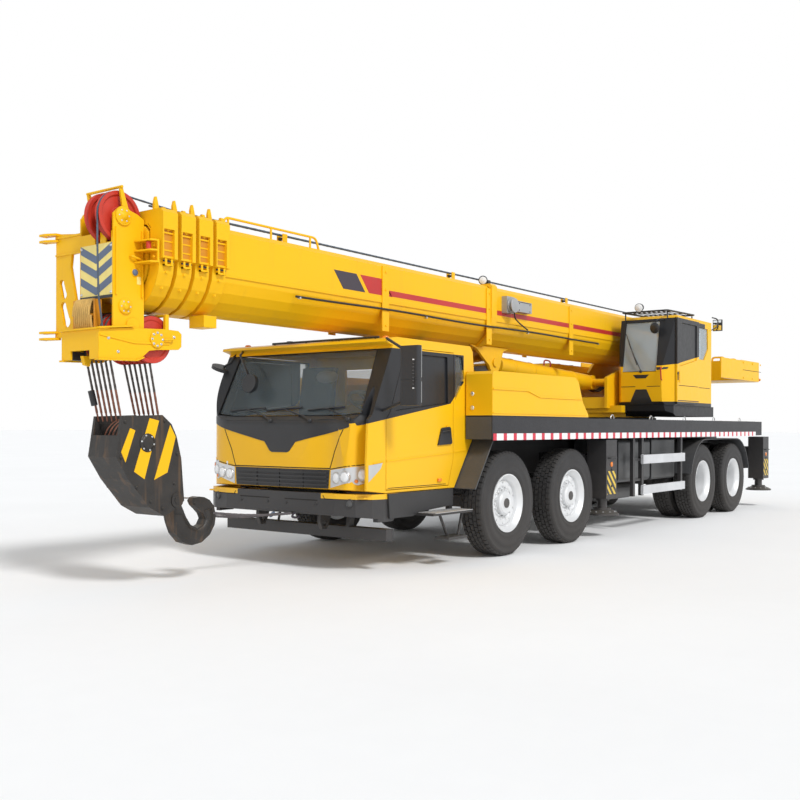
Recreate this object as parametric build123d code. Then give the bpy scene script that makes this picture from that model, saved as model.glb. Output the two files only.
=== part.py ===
# Four-axle truck crane with a five-section telescopic boom, in its travel position.
# Frame: +X forward, +Y to the machine's left, +Z up, origin on the ground under the
# centre of the overall box.  Inside this script X is counted from the first axle
# and everything is shifted by ORIGIN_SHIFT_X on export.
from build123d import *
import math
import os

os.makedirs("parts", exist_ok=True)

# ---------------------------------------------------------------- driving dimensions
ORIGIN_SHIFT_X = 2245.0          # first axle lies this far ahead of the origin
AXLES = (0.0, -1440.0, -5550.0, -6895.0)
TYRE_R = 542.5                   # 11.00 R20 class tyre
TYRE_W = 292.0
RIM_FLANGE_R = 302.0
FRONT_TYRE_Y = 1148.0            # centre plane of the single front tyres
REAR_TYRE_Y = (1192.0, 866.0)    # outer and inner tyre of a twin wheel
KINGPIN_Y = 960.0
HALF_W = 1385.0                  # deck half width
DECK_TOP = 1430.0
DECK_SKIRT_BOTTOM = 1205.0
DECK_FRONT_X = 500.0
DECK_REAR_X = -8140.0
CAB_HALF_W = 1060.0
CAB_WALL = 42.0
CAB_ROOF_Z = 2145.0
LOCKER_TOP = 1885.0
SLEW_X = -5000.0                 # slewing axis
BOOM_PIVOT = (-6350.0, 2560.0)   # boom foot pin (x, z)
BOOM_TOP = 2998.0
BOOM_BOTTOM = 2272.0
BOOM_HALF_W = 352.0
LIFT_BASE = (-4420.0, 1985.0)    # lift cylinder foot pin
LIFT_EYE = (-1560.0, 2118.0)     # lift cylinder rod pin on the boom
SECTION_STEP = 23.0              # each inner section is this much smaller per side
SECTION_GAP_X = 186.0            # spacing of the section collars
HOOK_TILT = 16.0                 # the rope falls hang this far off plumb, lashed back
HOOK_PIVOT = (3965.0, 1870.0)    # middle of the falls at the boom head
HOOK_PIN = (3470.0, 720.0)       # pin of the hook in its block
HOOK_REST = 62.5                 # the hook itself is drawn back this far off plumb
TAIL_X = -8700.0                 # rear of the counterweight
LUFF_MAX = 80.0
TELESCOPE = 7800.0               # stroke of each boom section
JACK_STROKE = 262.0              # outrigger foot down to the ground
OUT_F = (-2115.0, -2775.0)       # front outrigger box, x range
OUT_R = (-7930.0, -8590.0)       # rear outrigger box, x range
DOOR_HINGE = (1803.0, 1064.0)    # driver's door hinge line (x, +-y)
TOW_PIN_X = -8730.0
TOW_EYE = (1900.0, 425.0)        # front tow eyes (x, z)
HEAD_HW = 210.0                  # boom head half width over its side plates
HEAD_X = 4130.0                  # front face of the boom head
JIB_PIN = (4160.0, -635.0)       # upright pin line of the jib bracket (x, y)
JIB_LUG_Z = (2851.0, 2059.0)     # middle of the upper and lower fork


# ---------------------------------------------------------------- small helpers
def box(x0, x1, y0, y1, z0, z1):
    b = Box(abs(x1 - x0), abs(y1 - y0), abs(z1 - z0))
    return b.moved(Location(((x0 + x1) / 2, (y0 + y1) / 2, (z0 + z1) / 2)))


def face_from(pts):
    return make_face(Polyline(*[tuple(p) for p in pts], close=True))


def prism_xz(pts, y0, y1):
    """closed outline in the XZ plane, extruded from y0 to y1"""
    f = face_from([(p[0], 0, p[1]) for p in pts])
    s = extrude(f, amount=abs(y1 - y0), dir=(0, 1, 0))
    return s.moved(Location((0, min(y0, y1), 0)))


def prism_yz(pts, x0, x1):
    f = face_from([(0, p[0], p[1]) for p in pts])
    s = extrude(f, amount=abs(x1 - x0), dir=(1, 0, 0))
    return s.moved(Location((min(x0, x1), 0, 0)))


def prism_xy(pts, z0, z1):
    f = face_from([(p[0], p[1], 0) for p in pts])
    s = extrude(f, amount=abs(z1 - z0), dir=(0, 0, 1))
    return s.moved(Location((0, 0, min(z0, z1))))


def cyl_y(x, z, r, y0, y1):
    c = Cylinder(r, abs(y1 - y0), rotation=(90, 0, 0))
    return c.moved(Location((x, (y0 + y1) / 2, z)))


def cyl_x(y, z, r, x0, x1):
    c = Cylinder(r, abs(x1 - x0), rotation=(0, 90, 0))
    return c.moved(Location(((x0 + x1) / 2, y, z)))


def cyl_z(x, y, r, z0, z1):
    return Cylinder(r, abs(z1 - z0)).moved(Location((x, y, (z0 + z1) / 2)))


def rod(a, b, r):
    """round bar from point a to point b"""
    a, b = Vector(*a), Vector(*b)
    pl = Plane(origin=a, z_dir=(b - a))
    return extrude(pl * Circle(r), amount=(b - a).length)


def mirror_y(s):
    return mirror(s, about=Plane.XZ)


def both(s):
    return [s, mirror_y(s)]


def revolve_y(profile, cx, cz):
    """profile is a list of (radius, y) points turned about the Y axis through cx, cz"""
    f = face_from([(p[0], p[1], 0) for p in profile])
    return revolve(f, axis=Axis.Y, revolution_arc=360).moved(Location((cx, 0, cz)))


def fuse(*parts):
    flat = []
    for p in parts:
        flat += list(p) if isinstance(p, (list, tuple)) else [p]
    out = flat[0]
    for p in flat[1:]:
        out = out + p
    return out


WRITTEN = {}


def save(name, *parts):
    flat = []
    for p in parts:
        flat += list(p) if isinstance(p, (list, tuple)) else [p]
    solids = []
    for p in flat:
        solids += list(p.solids())
    comp = Compound(children=[s.moved(Location((ORIGIN_SHIFT_X, 0, 0))) for s in solids])
    export_step(comp, "parts/%s.step" % name)
    WRITTEN[name] = comp
    bb = comp.bounding_box()
    print("%-22s solids %2d  vol %.4f m3  x %.0f..%.0f y %.0f..%.0f z %.0f..%.0f" % (
        name, len(solids), comp.volume / 1e9, bb.min.X, bb.max.X, bb.min.Y, bb.max.Y, bb.min.Z, bb.max.Z))


# ================================================================ wheels
def tyre(cx, cy, w=TYRE_W):
    h = w / 2
    prof = [(262, -88), (303, -112), (345, -h * 0.96), (410, -h), (480, -h * 0.97), (517, -h * 0.86),
            (536, -h * 0.70), (TYRE_R, -h * 0.35), (TYRE_R, h * 0.35), (536, h * 0.70), (517, h * 0.86),
            (480, h * 0.97), (410, h), (345, h * 0.96), (303, 112), (262, 88)]
    s = revolve_y([(r, y + cy) for r, y in prof], cx, TYRE_R)
    return s


def front_rim(cx, side):
    """single front wheel: barrel, flanges, dished disc with a bolt circle and hub"""
    c = FRONT_TYRE_Y
    # clean, simply nested outline: outer barrel first, then the disc as a second ring
    barrel = revolve_y([(248, c - 126), (302, c - 126), (302, c - 116), (261.6, c - 92), (261.6, c + 92),
                        (302, c + 116), (302, c + 126), (290, c + 126), (250, c + 84), (240, c + 60),
                        (240, c - 100)], cx, TYRE_R)
    disc = revolve_y([(50.4, c + 20), (245, c + 20), (245, c + 48), (225, c + 60), (180, c + 64), (150, c + 44),
                      (128, c + 46), (124, c + 92), (104, c + 106), (50.4, c + 106)], cx, TYRE_R)
    s = barrel + disc
    studs = None
    for i in range(10):
        a = math.radians(36 * i)
        st = cyl_y(cx + 167.5 * math.cos(a), TYRE_R + 167.5 * math.sin(a), 13, c + 40, c + 72)
        studs = st if studs is None else studs + st
    # ten hand holes round the disc
    for i in range(10):
        a = math.radians(36 * i + 18)
        s = s - cyl_y(cx + 212 * math.cos(a), TYRE_R + 212 * math.sin(a), 9, c, c + 90)
    s = s + studs
    return s if side > 0 else mirror_y(s)


def rear_rims(cx, side):
    """twin wheels on one hub, outer disc dished inwards, as one piece"""
    co, ci = REAR_TYRE_Y

    def barrel(c):
        return revolve_y([(248, c - 126), (302, c - 126), (302, c - 116), (261.6, c - 92), (261.6, c + 92),
                          (302, c + 116), (302, c + 126), (290, c + 126), (250, c + 84), (240, c + 60),
                          (240, c - 60), (248, c - 100)], cx, TYRE_R)
    mid = (co + ci) / 2
    discs = revolve_y([(60.4, mid - 40), (245, mid - 95), (245, mid + 95), (225, mid + 80), (190, mid + 18), (150, mid + 14),
                       (130, mid + 20), (118, mid + 118), (60.4, mid + 122)], cx, TYRE_R)
    s = barrel(co) + barrel(ci) + discs
    for i in range(10):
        a = math.radians(36 * i)
        s = s + cyl_y(cx + 167.5 * math.cos(a), TYRE_R + 167.5 * math.sin(a), 13, mid, mid + 44)
    return s if side > 0 else mirror_y(s)


for n, ax in enumerate(AXLES, 1):
    for side, tag in ((1, "l"), (-1, "r")):
        if n <= 2:
            t = [tyre(ax, FRONT_TYRE_Y)]
            r = front_rim(ax, 1)
        else:
            t = [tyre(ax, REAR_TYRE_Y[0]), tyre(ax, REAR_TYRE_Y[1])]
            r = rear_rims(ax, 1)
        if side < 0:
            t = [mirror_y(q) for q in t]
            r = mirror_y(r)
        save("tyre_%d%s" % (n, tag), *t)
        save("wheel_%d%s" % (n, tag), r)

# ---- steering knuckles: a forked block round the kingpin with a spindle into the hub
for n, ax in enumerate(AXLES[:2], 1):
    for side, tag in ((1, "l"), (-1, "r")):
        k = box(ax - 70, ax + 70, KINGPIN_Y - 62, KINGPIN_Y + 66, TYRE_R - 140, TYRE_R + 140)
        k = k - box(ax - 90, ax + 90, KINGPIN_Y - 80, KINGPIN_Y + 46, TYRE_R - 72, TYRE_R + 72)
        k = k + cyl_y(ax, TYRE_R, 50, KINGPIN_Y + 60, FRONT_TYRE_Y + 112)
        k = k + cyl_y(ax, TYRE_R, 170, KINGPIN_Y + 50, KINGPIN_Y + 100)          # brake drum
        k = k + box(ax + 60, ax + 240, KINGPIN_Y - 40, KINGPIN_Y - 4, TYRE_R - 140, TYRE_R - 106)  # steering arm
        k = k + cyl_z(ax, KINGPIN_Y, 20, TYRE_R - 150, TYRE_R + 150)
        save("knuckle_%d%s" % (n, tag), k if side > 0 else mirror_y(k))

# ---- axle beams: two steering beams and two drive axles with their differentials
axles = []
for ax in AXLES[:2]:
    b = box(ax - 62, ax + 62, -(KINGPIN_Y - 70), KINGPIN_Y - 70, TYRE_R - 62, TYRE_R + 62)
    b = b + [box(ax - 36, ax + 36, s * (KINGPIN_Y - 80), s * KINGPIN_Y, TYRE_R - 60, TYRE_R + 60) for s in (1, -1)]
    b = b + [cyl_z(ax, s * KINGPIN_Y, 36, TYRE_R - 60, TYRE_R + 60) for s in (1, -1)]
    for s in (1, -1):
        b = b - cyl_z(ax, s * KINGPIN_Y, 20.4, TYRE_R - 90, TYRE_R + 90)
    top = 700 if ax > -600 else 760
    b = b + [box(ax - 90, ax + 90, s * 384, s * 466, TYRE_R + 50, top) for s in (1, -1)]
    axles.append(b)
for ax in AXLES[2:]:
    b = cyl_y(ax, TYRE_R, 82, -560, 560)
    b = b + cyl_y(ax, TYRE_R, 60, -1120, 1120)
    b = b + Sphere(205).moved(Location((ax, 0, TYRE_R)))
    b = b + cyl_x(0, TYRE_R, 70, ax, ax + 330)
    b = b + [cyl_y(ax, TYRE_R, 190, s * 560, s * 640) for s in (1, -1)]
    b = b + [box(ax - 90, ax + 90, s * 384, s * 466, TYRE_R + 40, 760) for s in (1, -1)]
    axles.append(b)
save("axles", axles)

# ================================================================ chassis frame
FR_HW = 470.0
OUT_Z0, OUT_Z1 = 640.0, 1010.0          # outrigger boxes
frame = box(-560, -8590, -FR_HW, FR_HW, 760, 1190) - box(-600, -8550, -(FR_HW - 14), FR_HW - 14, 776, 1174)
# the frame narrows to two low rails that carry the driver's cab and engine
frame = frame + box(1750, -600, -FR_HW, -FR_HW + 90, 700, 980) + box(1750, -600, FR_HW - 90, FR_HW, 700, 980)
frame = frame + box(1650, 1750, -FR_HW, FR_HW, 700, 960) + box(-560, -640, -FR_HW, FR_HW, 700, 1190)
frame = frame + box(-2700, -5700, -FR_HW, FR_HW, 1170, 1250)
obox = []
for x0, x1 in (OUT_F, OUT_R):
    frame = frame - box(x0 + 0, x1, -2000, 2000, OUT_Z0, OUT_Z1)
    b = box(x0, x1, -1090, 1090, OUT_Z0, OUT_Z1)
    xm = (x0 + x1) / 2
    b = b - box(x0 - 14, xm + 7, -1200, 1200, OUT_Z0 + 14, OUT_Z1 - 14)
    b = b - box(xm - 7, x1 + 14, -1200, 1200, OUT_Z0 + 14, OUT_Z1 - 14)
    frame = frame + b
# slewing ring seat and the ring's fixed race
frame = frame + cyl_z(SLEW_X, 0, 760, 1180, 1470)
frame = frame - cyl_z(SLEW_X, 0, 560, 1300, 1500)
# boom rest: two posts and a saddle behind the driver's cab
frame = frame + box(60, -60, -440, -340, 970, 2160) + box(60, -60, 340, 440, 970, 2160) + box(90, -90, -440, 440, 2120, 2236)
# tow jaw at the rear: two ears with a vertical pin hole
jaw = box(-8588, -8790, -90, 90, 760, 800) + box(-8588, -8790, -90, 90, 860, 900) + box(-8588, -8640, -140, 140, 700, 960)
jaw = jaw - cyl_z(TOW_PIN_X, 0, 25, 700, 960)
frame = frame + jaw
# front tow eyes: two upright plates under the bumper
for s in (1, -1):
    eye = prism_xz([(1650, 700), (1950, 700), (1960, 440), (1930, 372), (1870, 372), (1830, 440), (1790, 560), (1650, 620)], s * 380, s * 420)
    eye = eye - cyl_y(TOW_EYE[0], TOW_EYE[1], 24, s * 350, s * 450)
    frame = frame + eye
save("chassis_frame", frame)

# engine: one plain block between the front rails
save("engine", box(1100, -480, -340, 340, 640, 1330))

# ================================================================ deck
deck = box(DECK_FRONT_X, DECK_REAR_X, -HALF_W, HALF_W, DECK_TOP - 30, DECK_TOP)
deck = deck - cyl_z(SLEW_X, 0, 800, DECK_TOP - 60, DECK_TOP + 20)
deck = deck - box(DECK_FRONT_X + 20, -520, -700, 700, DECK_TOP - 60, DECK_TOP + 10)
deck = deck - box(DECK_FRONT_X + 20, 255, -1075, 1075, DECK_TOP - 60, DECK_TOP + 10)
skirt = []
for s in (1, -1):
    skirt.append(box(DECK_FRONT_X, DECK_REAR_X, s * (HALF_W - 14), s * HALF_W, DECK_SKIRT_BOTTOM, DECK_TOP - 15))
    skirt.append(box(DECK_FRONT_X, DECK_REAR_X, s * (HALF_W - 14), s * (HALF_W - 120), DECK_SKIRT_BOTTOM, DECK_SKIRT_BOTTOM + 14))
    # cross bearers that carry the deck from the frame
    for xb in (-700, -1900, -3200, -4150, -6200, -7400):
        skirt.append(box(xb - 40, xb + 40, s * 470, s * (HALF_W - 12), DECK_TOP - 190, DECK_TOP - 20))
skirt.append(box(DECK_REAR_X, DECK_REAR_X + 14, -HALF_W, HALF_W, DECK_SKIRT_BOTTOM, DECK_TOP - 15))
skirt.append(box(DECK_FRONT_X, DECK_FRONT_X - 14, -HALF_W, -1075, DECK_SKIRT_BOTTOM, DECK_TOP - 15))
skirt.append(box(DECK_FRONT_X, DECK_FRONT_X - 14, 1075, HALF_W, DECK_SKIRT_BOTTOM, DECK_TOP - 15))
deck = fuse(deck, skirt)


# rear mudguards: curved plates over the twin wheels
def mudguard(x_a, x_b, s):
    """arched plate over wheels from x_a (front axle) to x_b (rear axle)"""
    ro, ri = 622.0, 610.0
    y0, y1 = s * 740, s * 1372
    a = cyl_y(x_a, TYRE_R, ro, y0, y1) + cyl_y(x_b, TYRE_R, ro, y0, y1) + box(x_a, x_b, y0, y1, TYRE_R, TYRE_R + ro)
    b = cyl_y(x_a, TYRE_R, ri, y0 - s * 5, y1 + s * 5) + cyl_y(x_b, TYRE_R, ri, y0 - s * 5, y1 + s * 5) + box(x_a, x_b, y0 - s * 5, y1 + s * 5, TYRE_R - 5, TYRE_R + ri)
    g = a - b
    return g - box(x_a + 900, x_b - 900, y0 - s * 9, y1 + s * 9, -200, TYRE_R + 130)


guards = [mudguard(AXLES[2], AXLES[3], s) for s in (1, -1)]
# front arch plates: the slanted plate behind the driver's cab, in front of the first wheels
for s in (1, -1):
    guards.append(prism_xz([(268, 1290), (280, 1290), (677, 722), (665, 714)], s * 640, s * 1300))
save("deck", deck, guards)

# ================================================================ driver's cab
plan = [(286, -CAB_HALF_W), (1800, -CAB_HALF_W), (1930, -1015), (2010, -900), (2052, -700), (2068, -350), (2072, 0),
        (2068, 350), (2052, 700), (2010, 900), (1930, 1015), (1800, CAB_HALF_W), (286, CAB_HALF_W)]
prof = [(296, 1290), (330, 1900), (352, 2090), (400, CAB_ROOF_Z), (1640, CAB_ROOF_Z + 6), (1800, 2122), (1806, 2098), (1700, 2072),
        (1998, 1432), (2054, 1390), (2078, 1000), (2078, 760), (1810, 728), (690, 728)]


def plan_solid(inset):
    pts = []
    for x, y in plan:
        if abs(y) >= CAB_HALF_W - 1:
            yy = math.copysign(abs(y) - inset, y)
            xx = x + inset if x < 1000 else x - inset * 0.1
        else:
            k = 1 - inset / 1500.0
            xx, yy = x - inset * (1.0 if abs(y) < 800 else 0.8), y * (1 - inset / 1400.0)
        pts.append((xx, yy))
    front = [p for p in pts if p[0] > 1000]
    left = pts[-1]
    right = pts[0]
    w = Spline(*[(p[0], p[1], 0) for p in front], tangents=[(1, 0, 0), (-1, 0, 0)])
    e = Wire([w, Line((front[-1][0], front[-1][1], 0), (left[0], left[1], 0)),
              Line((left[0], left[1], 0), (right[0], right[1], 0)),
              Line((right[0], right[1], 0), (front[0][0], front[0][1], 0))])
    return extrude(make_face(e), amount=2200, dir=(0, 0, 1))


def inset_prof(t):
    # hand offset of the side profile for the inside surface
    return [(296 + t + 8, 1290 + t * 0.4), (330 + t, 1900), (352 + t, 2090 - t * 0.4), (400 + t * 0.6, CAB_ROOF_Z - t), (1640 - t, CAB_ROOF_Z - t),
            (1670 - t, 2075 - t * 0.3), (1700 - t * 1.05, 2050), (1998 - t * 1.05, 1425), (2054 - t, 1380), (2078 - t, 1000), (2078 - t, 760 + t),
            (1810, 728 + t), (690 + t * 0.5, 728 + t)]


cab_outer = plan_solid(0) & prism_xz(prof, -1200, 1200)
cab_inner = plan_solid(CAB_WALL) & prism_xz(inset_prof(CAB_WALL), -1100, 1100)
cab = cab_outer - cab_inner

# door outline and window outlines on the side (x, z)
door_out = [(1800, 752), (1800, 1402), (1736, 1470), (1500, 2062), (704, 2062), (704, 1010), (790, 752)]
door_win = [(1648, 1474), (1462, 2010), (812, 2010), (800, 1560)]
quarter = [(672, 1590), (672, 2030), (548, 2030), (500, 1812)]
GAP = 6.0


def inset_poly(pts, d):
    """moves each edge of a convex outline inwards by d (outwards if negative)"""
    n = len(pts)
    area = sum(pts[i][0] * pts[(i + 1) % n][1] - pts[(i + 1) % n][0] * pts[i][1] for i in range(n))
    sg = 1 if area > 0 else -1
    out = []
    for i in range(n):
        p0, p1, p2 = pts[i - 1], pts[i], pts[(i + 1) % n]
        def off(a, b):
            dx, dy = b[0] - a[0], b[1] - a[1]
            L = math.hypot(dx, dy)
            nx, ny = -dy / L * sg, dx / L * sg
            return (a[0] + nx * d, a[1] + ny * d), (dx / L, dy / L)
        (a, u), (b, v) = off(p0, p1), off(p1, p2)
        den = u[0] * v[1] - u[1] * v[0]
        if abs(den) < 1e-9:
            out.append(b)
            continue
        t = ((b[0] - a[0]) * v[1] - (b[1] - a[1]) * v[0]) / den
        out.append((a[0] + u[0] * t, a[1] + u[1] * t))
    return out


for s in (1, -1):
    cab = cab - prism_xz(door_out, s * 960, s * 1200)
    cab = cab - prism_xz(quarter, s * 960, s * 1200)
# windscreen opening, cut along its own rake
ws_out = [(-905, 1436), (905, 1436), (880, 2052), (-880, 2052)]
ws_cut = prism_yz([(-925, 1445), (-700, 1425), (700, 1425), (925, 1445), (890, 2040), (-890, 2040)], 1450, 2200)
cab = cab - (ws_cut & prism_xz([(1500, 2060), (2200, 2060), (2200, 1400), (1880, 1400), (1850, 1440)], -1000, 1000))
# rear window
rear_win = prism_yz([(-620, 1560), (620, 1560), (620, 1960), (-620, 1960)], 200, 480)
cab = cab - rear_win
# engine tunnel opening in the floor of the cab
cab = cab + (cab_inner & box(600, 1960, -1040, 1040, 1000, 1020))
cab = cab - box(200, 1765, -482, 482, 600, 990)
cab = cab - box(200, 1125, -352, 352, 700, 1345)
tunnel = box(560, 1135, -364, 364, 1000, 1357) - box(500, 1123, -352, 352, 900, 1345)
cab = cab + (tunnel & cab_inner)
save("driver_cab", cab)

# glass: windscreen (raked, curved with the cab's plan), rear window, quarter lights
def skin(inset_a, inset_b, dz):
    a = plan_solid(inset_a) & prism_xz([(p[0] - inset_a * 0.55 if 1690 < p[0] < 2060 else p[0], p[1]) for p in prof], -1200, 1200)
    b = plan_solid(inset_b) & prism_xz([(p[0] - inset_b * 1.1 if 1690 < p[0] < 2060 else p[0], p[1]) for p in prof], -1200, 1200)
    return a - b


ws = prism_xz([(1998 - 14, 1432), (1700 - 14, 2072), (1700 - 22, 2072), (1998 - 22, 1432)], -1000, 1000)
ws = ws & prism_yz([(-915, 1454), (-690, 1434), (690, 1434), (915, 1454), (882, 2032), (-882, 2032)], 1450, 2200)
ws = ws & plan_solid(14)
glass = [ws, box(322 + 20, 322 + 28, -612, 612, 1568, 1952)]
for s in (1, -1):
    glass.append(prism_xz(inset_poly(quarter, 3), s * (CAB_HALF_W - 14), s * (CAB_HALF_W - 20)))
save("driver_cab_glass", glass)

# doors: panel as thick as the wall, window cut, pane inside it, grab handle
for s, tag in ((1, "left"), (-1, "right")):
    d = prism_xz(inset_poly(door_out, GAP), s * (CAB_HALF_W - 42), s * CAB_HALF_W)
    d = d - prism_xz(door_win, s * 960, s * 1200)
    d = d + prism_xz([(880, 1180), (780, 1180), (770, 1340), (830, 1340)], s * (CAB_HALF_W - 2), s * (CAB_HALF_W + 14))
    pane = prism_xz(inset_poly(door_win, 2), s * (CAB_HALF_W - 24), s * (CAB_HALF_W - 18))
    save("cab_door_%s" % tag, d, pane)

# inside: floor box with dash, two seats, steering wheel
interior = []
dash = prism_xz([(1900, 1021), (1935, 1390), (1800, 1418), (1640, 1400), (1690, 1250), (1760, 1021)], -850, 850)
seats = []
for yc in (620, -620):
    seats.append(prism_xz([(860, 1021), (1290, 1021), (1310, 1300), (1290, 1370), (880, 1350), (850, 1300)], yc - 230, yc + 230)
                 + prism_xz([(840, 1330), (920, 1330), (900, 1420), (820, 1965), (750, 1960), (820, 1420)], yc - 220, yc + 220))
wheel_s = revolve(make_face(Wire([Edge.make_circle(16, Plane(origin=(205, 0, 0), z_dir=(0, 1, 0)))])), axis=Axis.Z)
wheel_s = wheel_s + Cylinder(50, 30) + Box(400, 40, 16) + Box(40, 400, 16)
wheel_s = wheel_s.moved(Location((1480, 620, 1560), (0, -28, 0)))
column = rod((1490, 620, 1545), (1720, 620, 1300), 28)
save("cab_interior", dash + wheel_s + column, seats)

# front bumper with lamp pods, and the low underrun bar on its two arms
bump_plan = [(1600, 1062), (1840, 1068), (1960, 1030), (2046, 910), (2088, 700), (2100, 350), (2104, 0), (2100, -350), (2088, -700), (2046, -910), (1960, -1030), (1840, -1068), (1600, -1062)]
bump = prism_xy(bump_plan, 470, 722) - prism_xy([(1500, 1010), (1850, 1010), (1930, 985), (2000, 880), (2040, 700), (2050, 0), (2040, -700), (2000, -880), (1930, -985), (1850, -1010), (1500, -1010)], 400, 760)
bump = bump - prism_xz([(1500, 470), (1700, 470), (1500, 640)], -1200, 1200) - prism_xz([(1900, 400), (2200, 400), (2200, 600), (2070, 520), (1900, 500)], -1200, 1200)
bump = bump + (box(1640, 2040, -1000, 1000, 684, 698) - box(1600, 2035, 372, 428, 600, 740) - box(1600, 2035, -428, -372, 600, 740))
bar = box(1660, 1760, -1035, 1035, 285, 395)
bar = bar + [prism_xz([(1700, 390), (1760, 390), (1740, 600), (1660, 640), (1640, 600)], s * 560, s * 600) for s in (1, -1)]
bar = bar + [box(1600, 1700, s * 470, s * 600, 560, 640) for s in (1, -1)]
save("front_bumper", bump, bar)

# mirrors: main housings on arms at each side and the kerb mirror in front
mirrors = []
m = box(1835, 1900, 1285, 1490, 1515, 2040)
m = fillet(m.edges().filter_by(Axis.Z), 24)
m = m + rod((1868, 1330, 2000), (1782, 1052, 2128), 13) + rod((1868, 1330, 1560), (1850, 1046, 1470), 13)
mirrors.append(m - cab_outer)
# right side: a bent arm with a shallow dish looking down, and a round mirror in front of the windscreen
km = rod((1640, -960, 2110), (1722, -985, 2040), 13) + rod((1722, -985, 2040), (1740, -1010, 1985), 13) + rod((1740, -1010, 1985), (1752, -1100, 1945), 13)
km = km + Cylinder(118, 34).moved(Location((1752, -1115, 1926), (-22, 0, 0)))
mirrors.append(km - cab_outer)
hm = rod((1690, -860, 2112), (1905, -700, 2040), 11) + rod((1905, -700, 2040), (1978, -540, 1880), 11) + rod((1978, -540, 1880), (1978, -500, 1800), 11)
hm = hm + Cylinder(92, 40).moved(Location((1985, -480, 1750), (0, 80, 0)))
mirrors.append(hm - cab_outer)
save("cab_mirrors", mirrors)

# ================================================================ side lockers and engine cover
lockers = []
for s in (1, -1):
    l = prism_xz([(DECK_FRONT_X, DECK_TOP + 1), (DECK_FRONT_X, LOCKER_TOP - 30), (DECK_FRONT_X - 30, LOCKER_TOP), (-1290, LOCKER_TOP + 6), (-1370, LOCKER_TOP - 40), (-1480, DECK_TOP + 180), (-1620, DECK_TOP + 40), (-1620, DECK_TOP + 1)], s * 700, s * HALF_W)
    hol = [(220, DECK_TOP + 14), (220, LOCKER_TOP - 14), (-1285, LOCKER_TOP - 8), (-1360, LOCKER_TOP - 52), (-1468, DECK_TOP + 176), (-1590, DECK_TOP + 46), (-1590, DECK_TOP + 14)]
    l = l - prism_xz(hol, s * 712, s * (HALF_W - 12))
    l = l - box(255, DECK_FRONT_X + 20, s * 600, s * 1075, 1400, 1950)
    lockers.append(l)
cover = box(240, -520, -690, 690, 1340, 1800) - box(220, -500, -670, 670, 1300, 1780)
for s in (1, -1):
    cover = cover - box(70, -70, s * 330, s * 450, 1700, 1900)
lockers.append(cover)
save("side_lockers", lockers)

# tanks and boxes hung on the frame between the axles, with their straps
tanks = []
tk = box(-2900, -3900, 560, 1180, 620, 1180)
tk = fillet(tk.edges().filter_by(Axis.X), 60)
tanks.append(tk)
tk2 = box(-3960, -4780, 560, 1180, 620, 1180)
tanks.append(fillet(tk2.edges().filter_by(Axis.X), 30))
tk3 = box(-3000, -4700, -1180, -560, 560, 1180)
tanks.append(fillet(tk3.edges().filter_by(Axis.X), 80))
tanks.append(cyl_x(900 * 0.94, 480, 110, -2900, -3900))
hang = [box(xb - 30, xb + 30, s * 470, s * 570, 800, 1150) for xb in (-3100, -3700, -4100, -4600) for s in (1, -1)]
brk = [box(-3130, -3070, 830, 860, 560, 640), box(-3730, -3670, 830, 860, 560, 640)]
t_all = fuse(tanks[0], tanks[1], [h for h in hang if h.center().Y > 0], brk, tanks[3])
save("tanks", t_all, fuse(tanks[2], [h for h in hang if h.center().Y < 0]))

# side guards: two aluminium rails each side on two posts
sg = []
for s in (1, -1):
    g = box(-3240, -4690, s * 1335, s * 1372, 860, 975) + box(-3240, -4690, s * 1335, s * 1372, 470, 580)
    for xp in (-3290, -4640):
        g = g + box(xp - 30, xp + 30, s * 1290, s * 1340, 450, DECK_SKIRT_BOTTOM)
    g = g + box(-3000, -3060, s * 1290, s * 1335, 450, DECK_SKIRT_BOTTOM) + box(-3060, -3300, s * 1300, s * 1325, 640, 670) + box(-3060, -3300, s * 1300, s * 1325, 900, 930)
    sg.append(g)


# access steps: under each driver's cab door, and a ladder at the rear corner each side
st = []
for s in (1, -1):
    f = box(1360, 695, s * 1040, s * 1280, 500, 522)
    f = f + box(1300, 1240, s * 1020, s * 1062, 500, 720) + box(780, 725, s * 1020, s * 1062, 500, 720)
    f = f + box(1120, 800, s * 1130, s * 1290, 262, 284) + rod((1150, s * 1200, 505), (1010, s * 1200, 275), 14) + rod((760, s * 1200, 505), (830, s * 1200, 275), 14)
    st.append(f)
save("side_guards", sg, st)

# ================================================================ outriggers: beam with jack housing, then the jack
def outrigger(x0, x1, s, tag):
    """x0..x1 is the beam's own slot inside the box, s the side it slides out to"""
    xa, xb = x0 - 22, x1 + 22
    beam = box(xa, xb, s * (-1020), s * 1150, OUT_Z0 + 22, OUT_Z1 - 22)
    beam = beam - box(xa - 16, xb + 16, s * (-1030), s * 1100, OUT_Z0 + 38, OUT_Z1 - 38)
    xm = (xa + xb) / 2
    post = box(xm + 150, xm - 150, s * 1120, s * 1372, 470, 1178)
    post = post - cyl_z(xm, s * 1246, 92, 440, 1150)
    beam = beam + post
    beam = beam - cyl_z(xm, s * 1246, 92, 440, 1150)
    save("outrigger_beam_%s" % tag, beam)
    jack = cyl_z(xm, s * 1246, 86, 440, 1120) + cyl_z(xm, s * 1246, 60, 330, 450)
    foot = cyl_z(xm, s * 1246, 110, 318, 350) + Cone(bottom_radius=205, top_radius=120, height=40).moved(Location((xm, s * 1246, 308)))
    foot = foot + cyl_z(xm, s * 1246, 205, 268, 290)
    save("outrigger_jack_%s" % tag, jack + foot)


mf, mr = (OUT_F[0] + OUT_F[1]) / 2, (OUT_R[0] + OUT_R[1]) / 2
outrigger(OUT_F[0] - 7, mf + 7, 1, "front_left")
outrigger(mf - 7, OUT_F[1] + 7, -1, "front_right")
outrigger(mr - 7, OUT_R[1] + 7, 1, "rear_left")
outrigger(OUT_R[0] - 7, mr + 7, -1, "rear_right")

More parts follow.
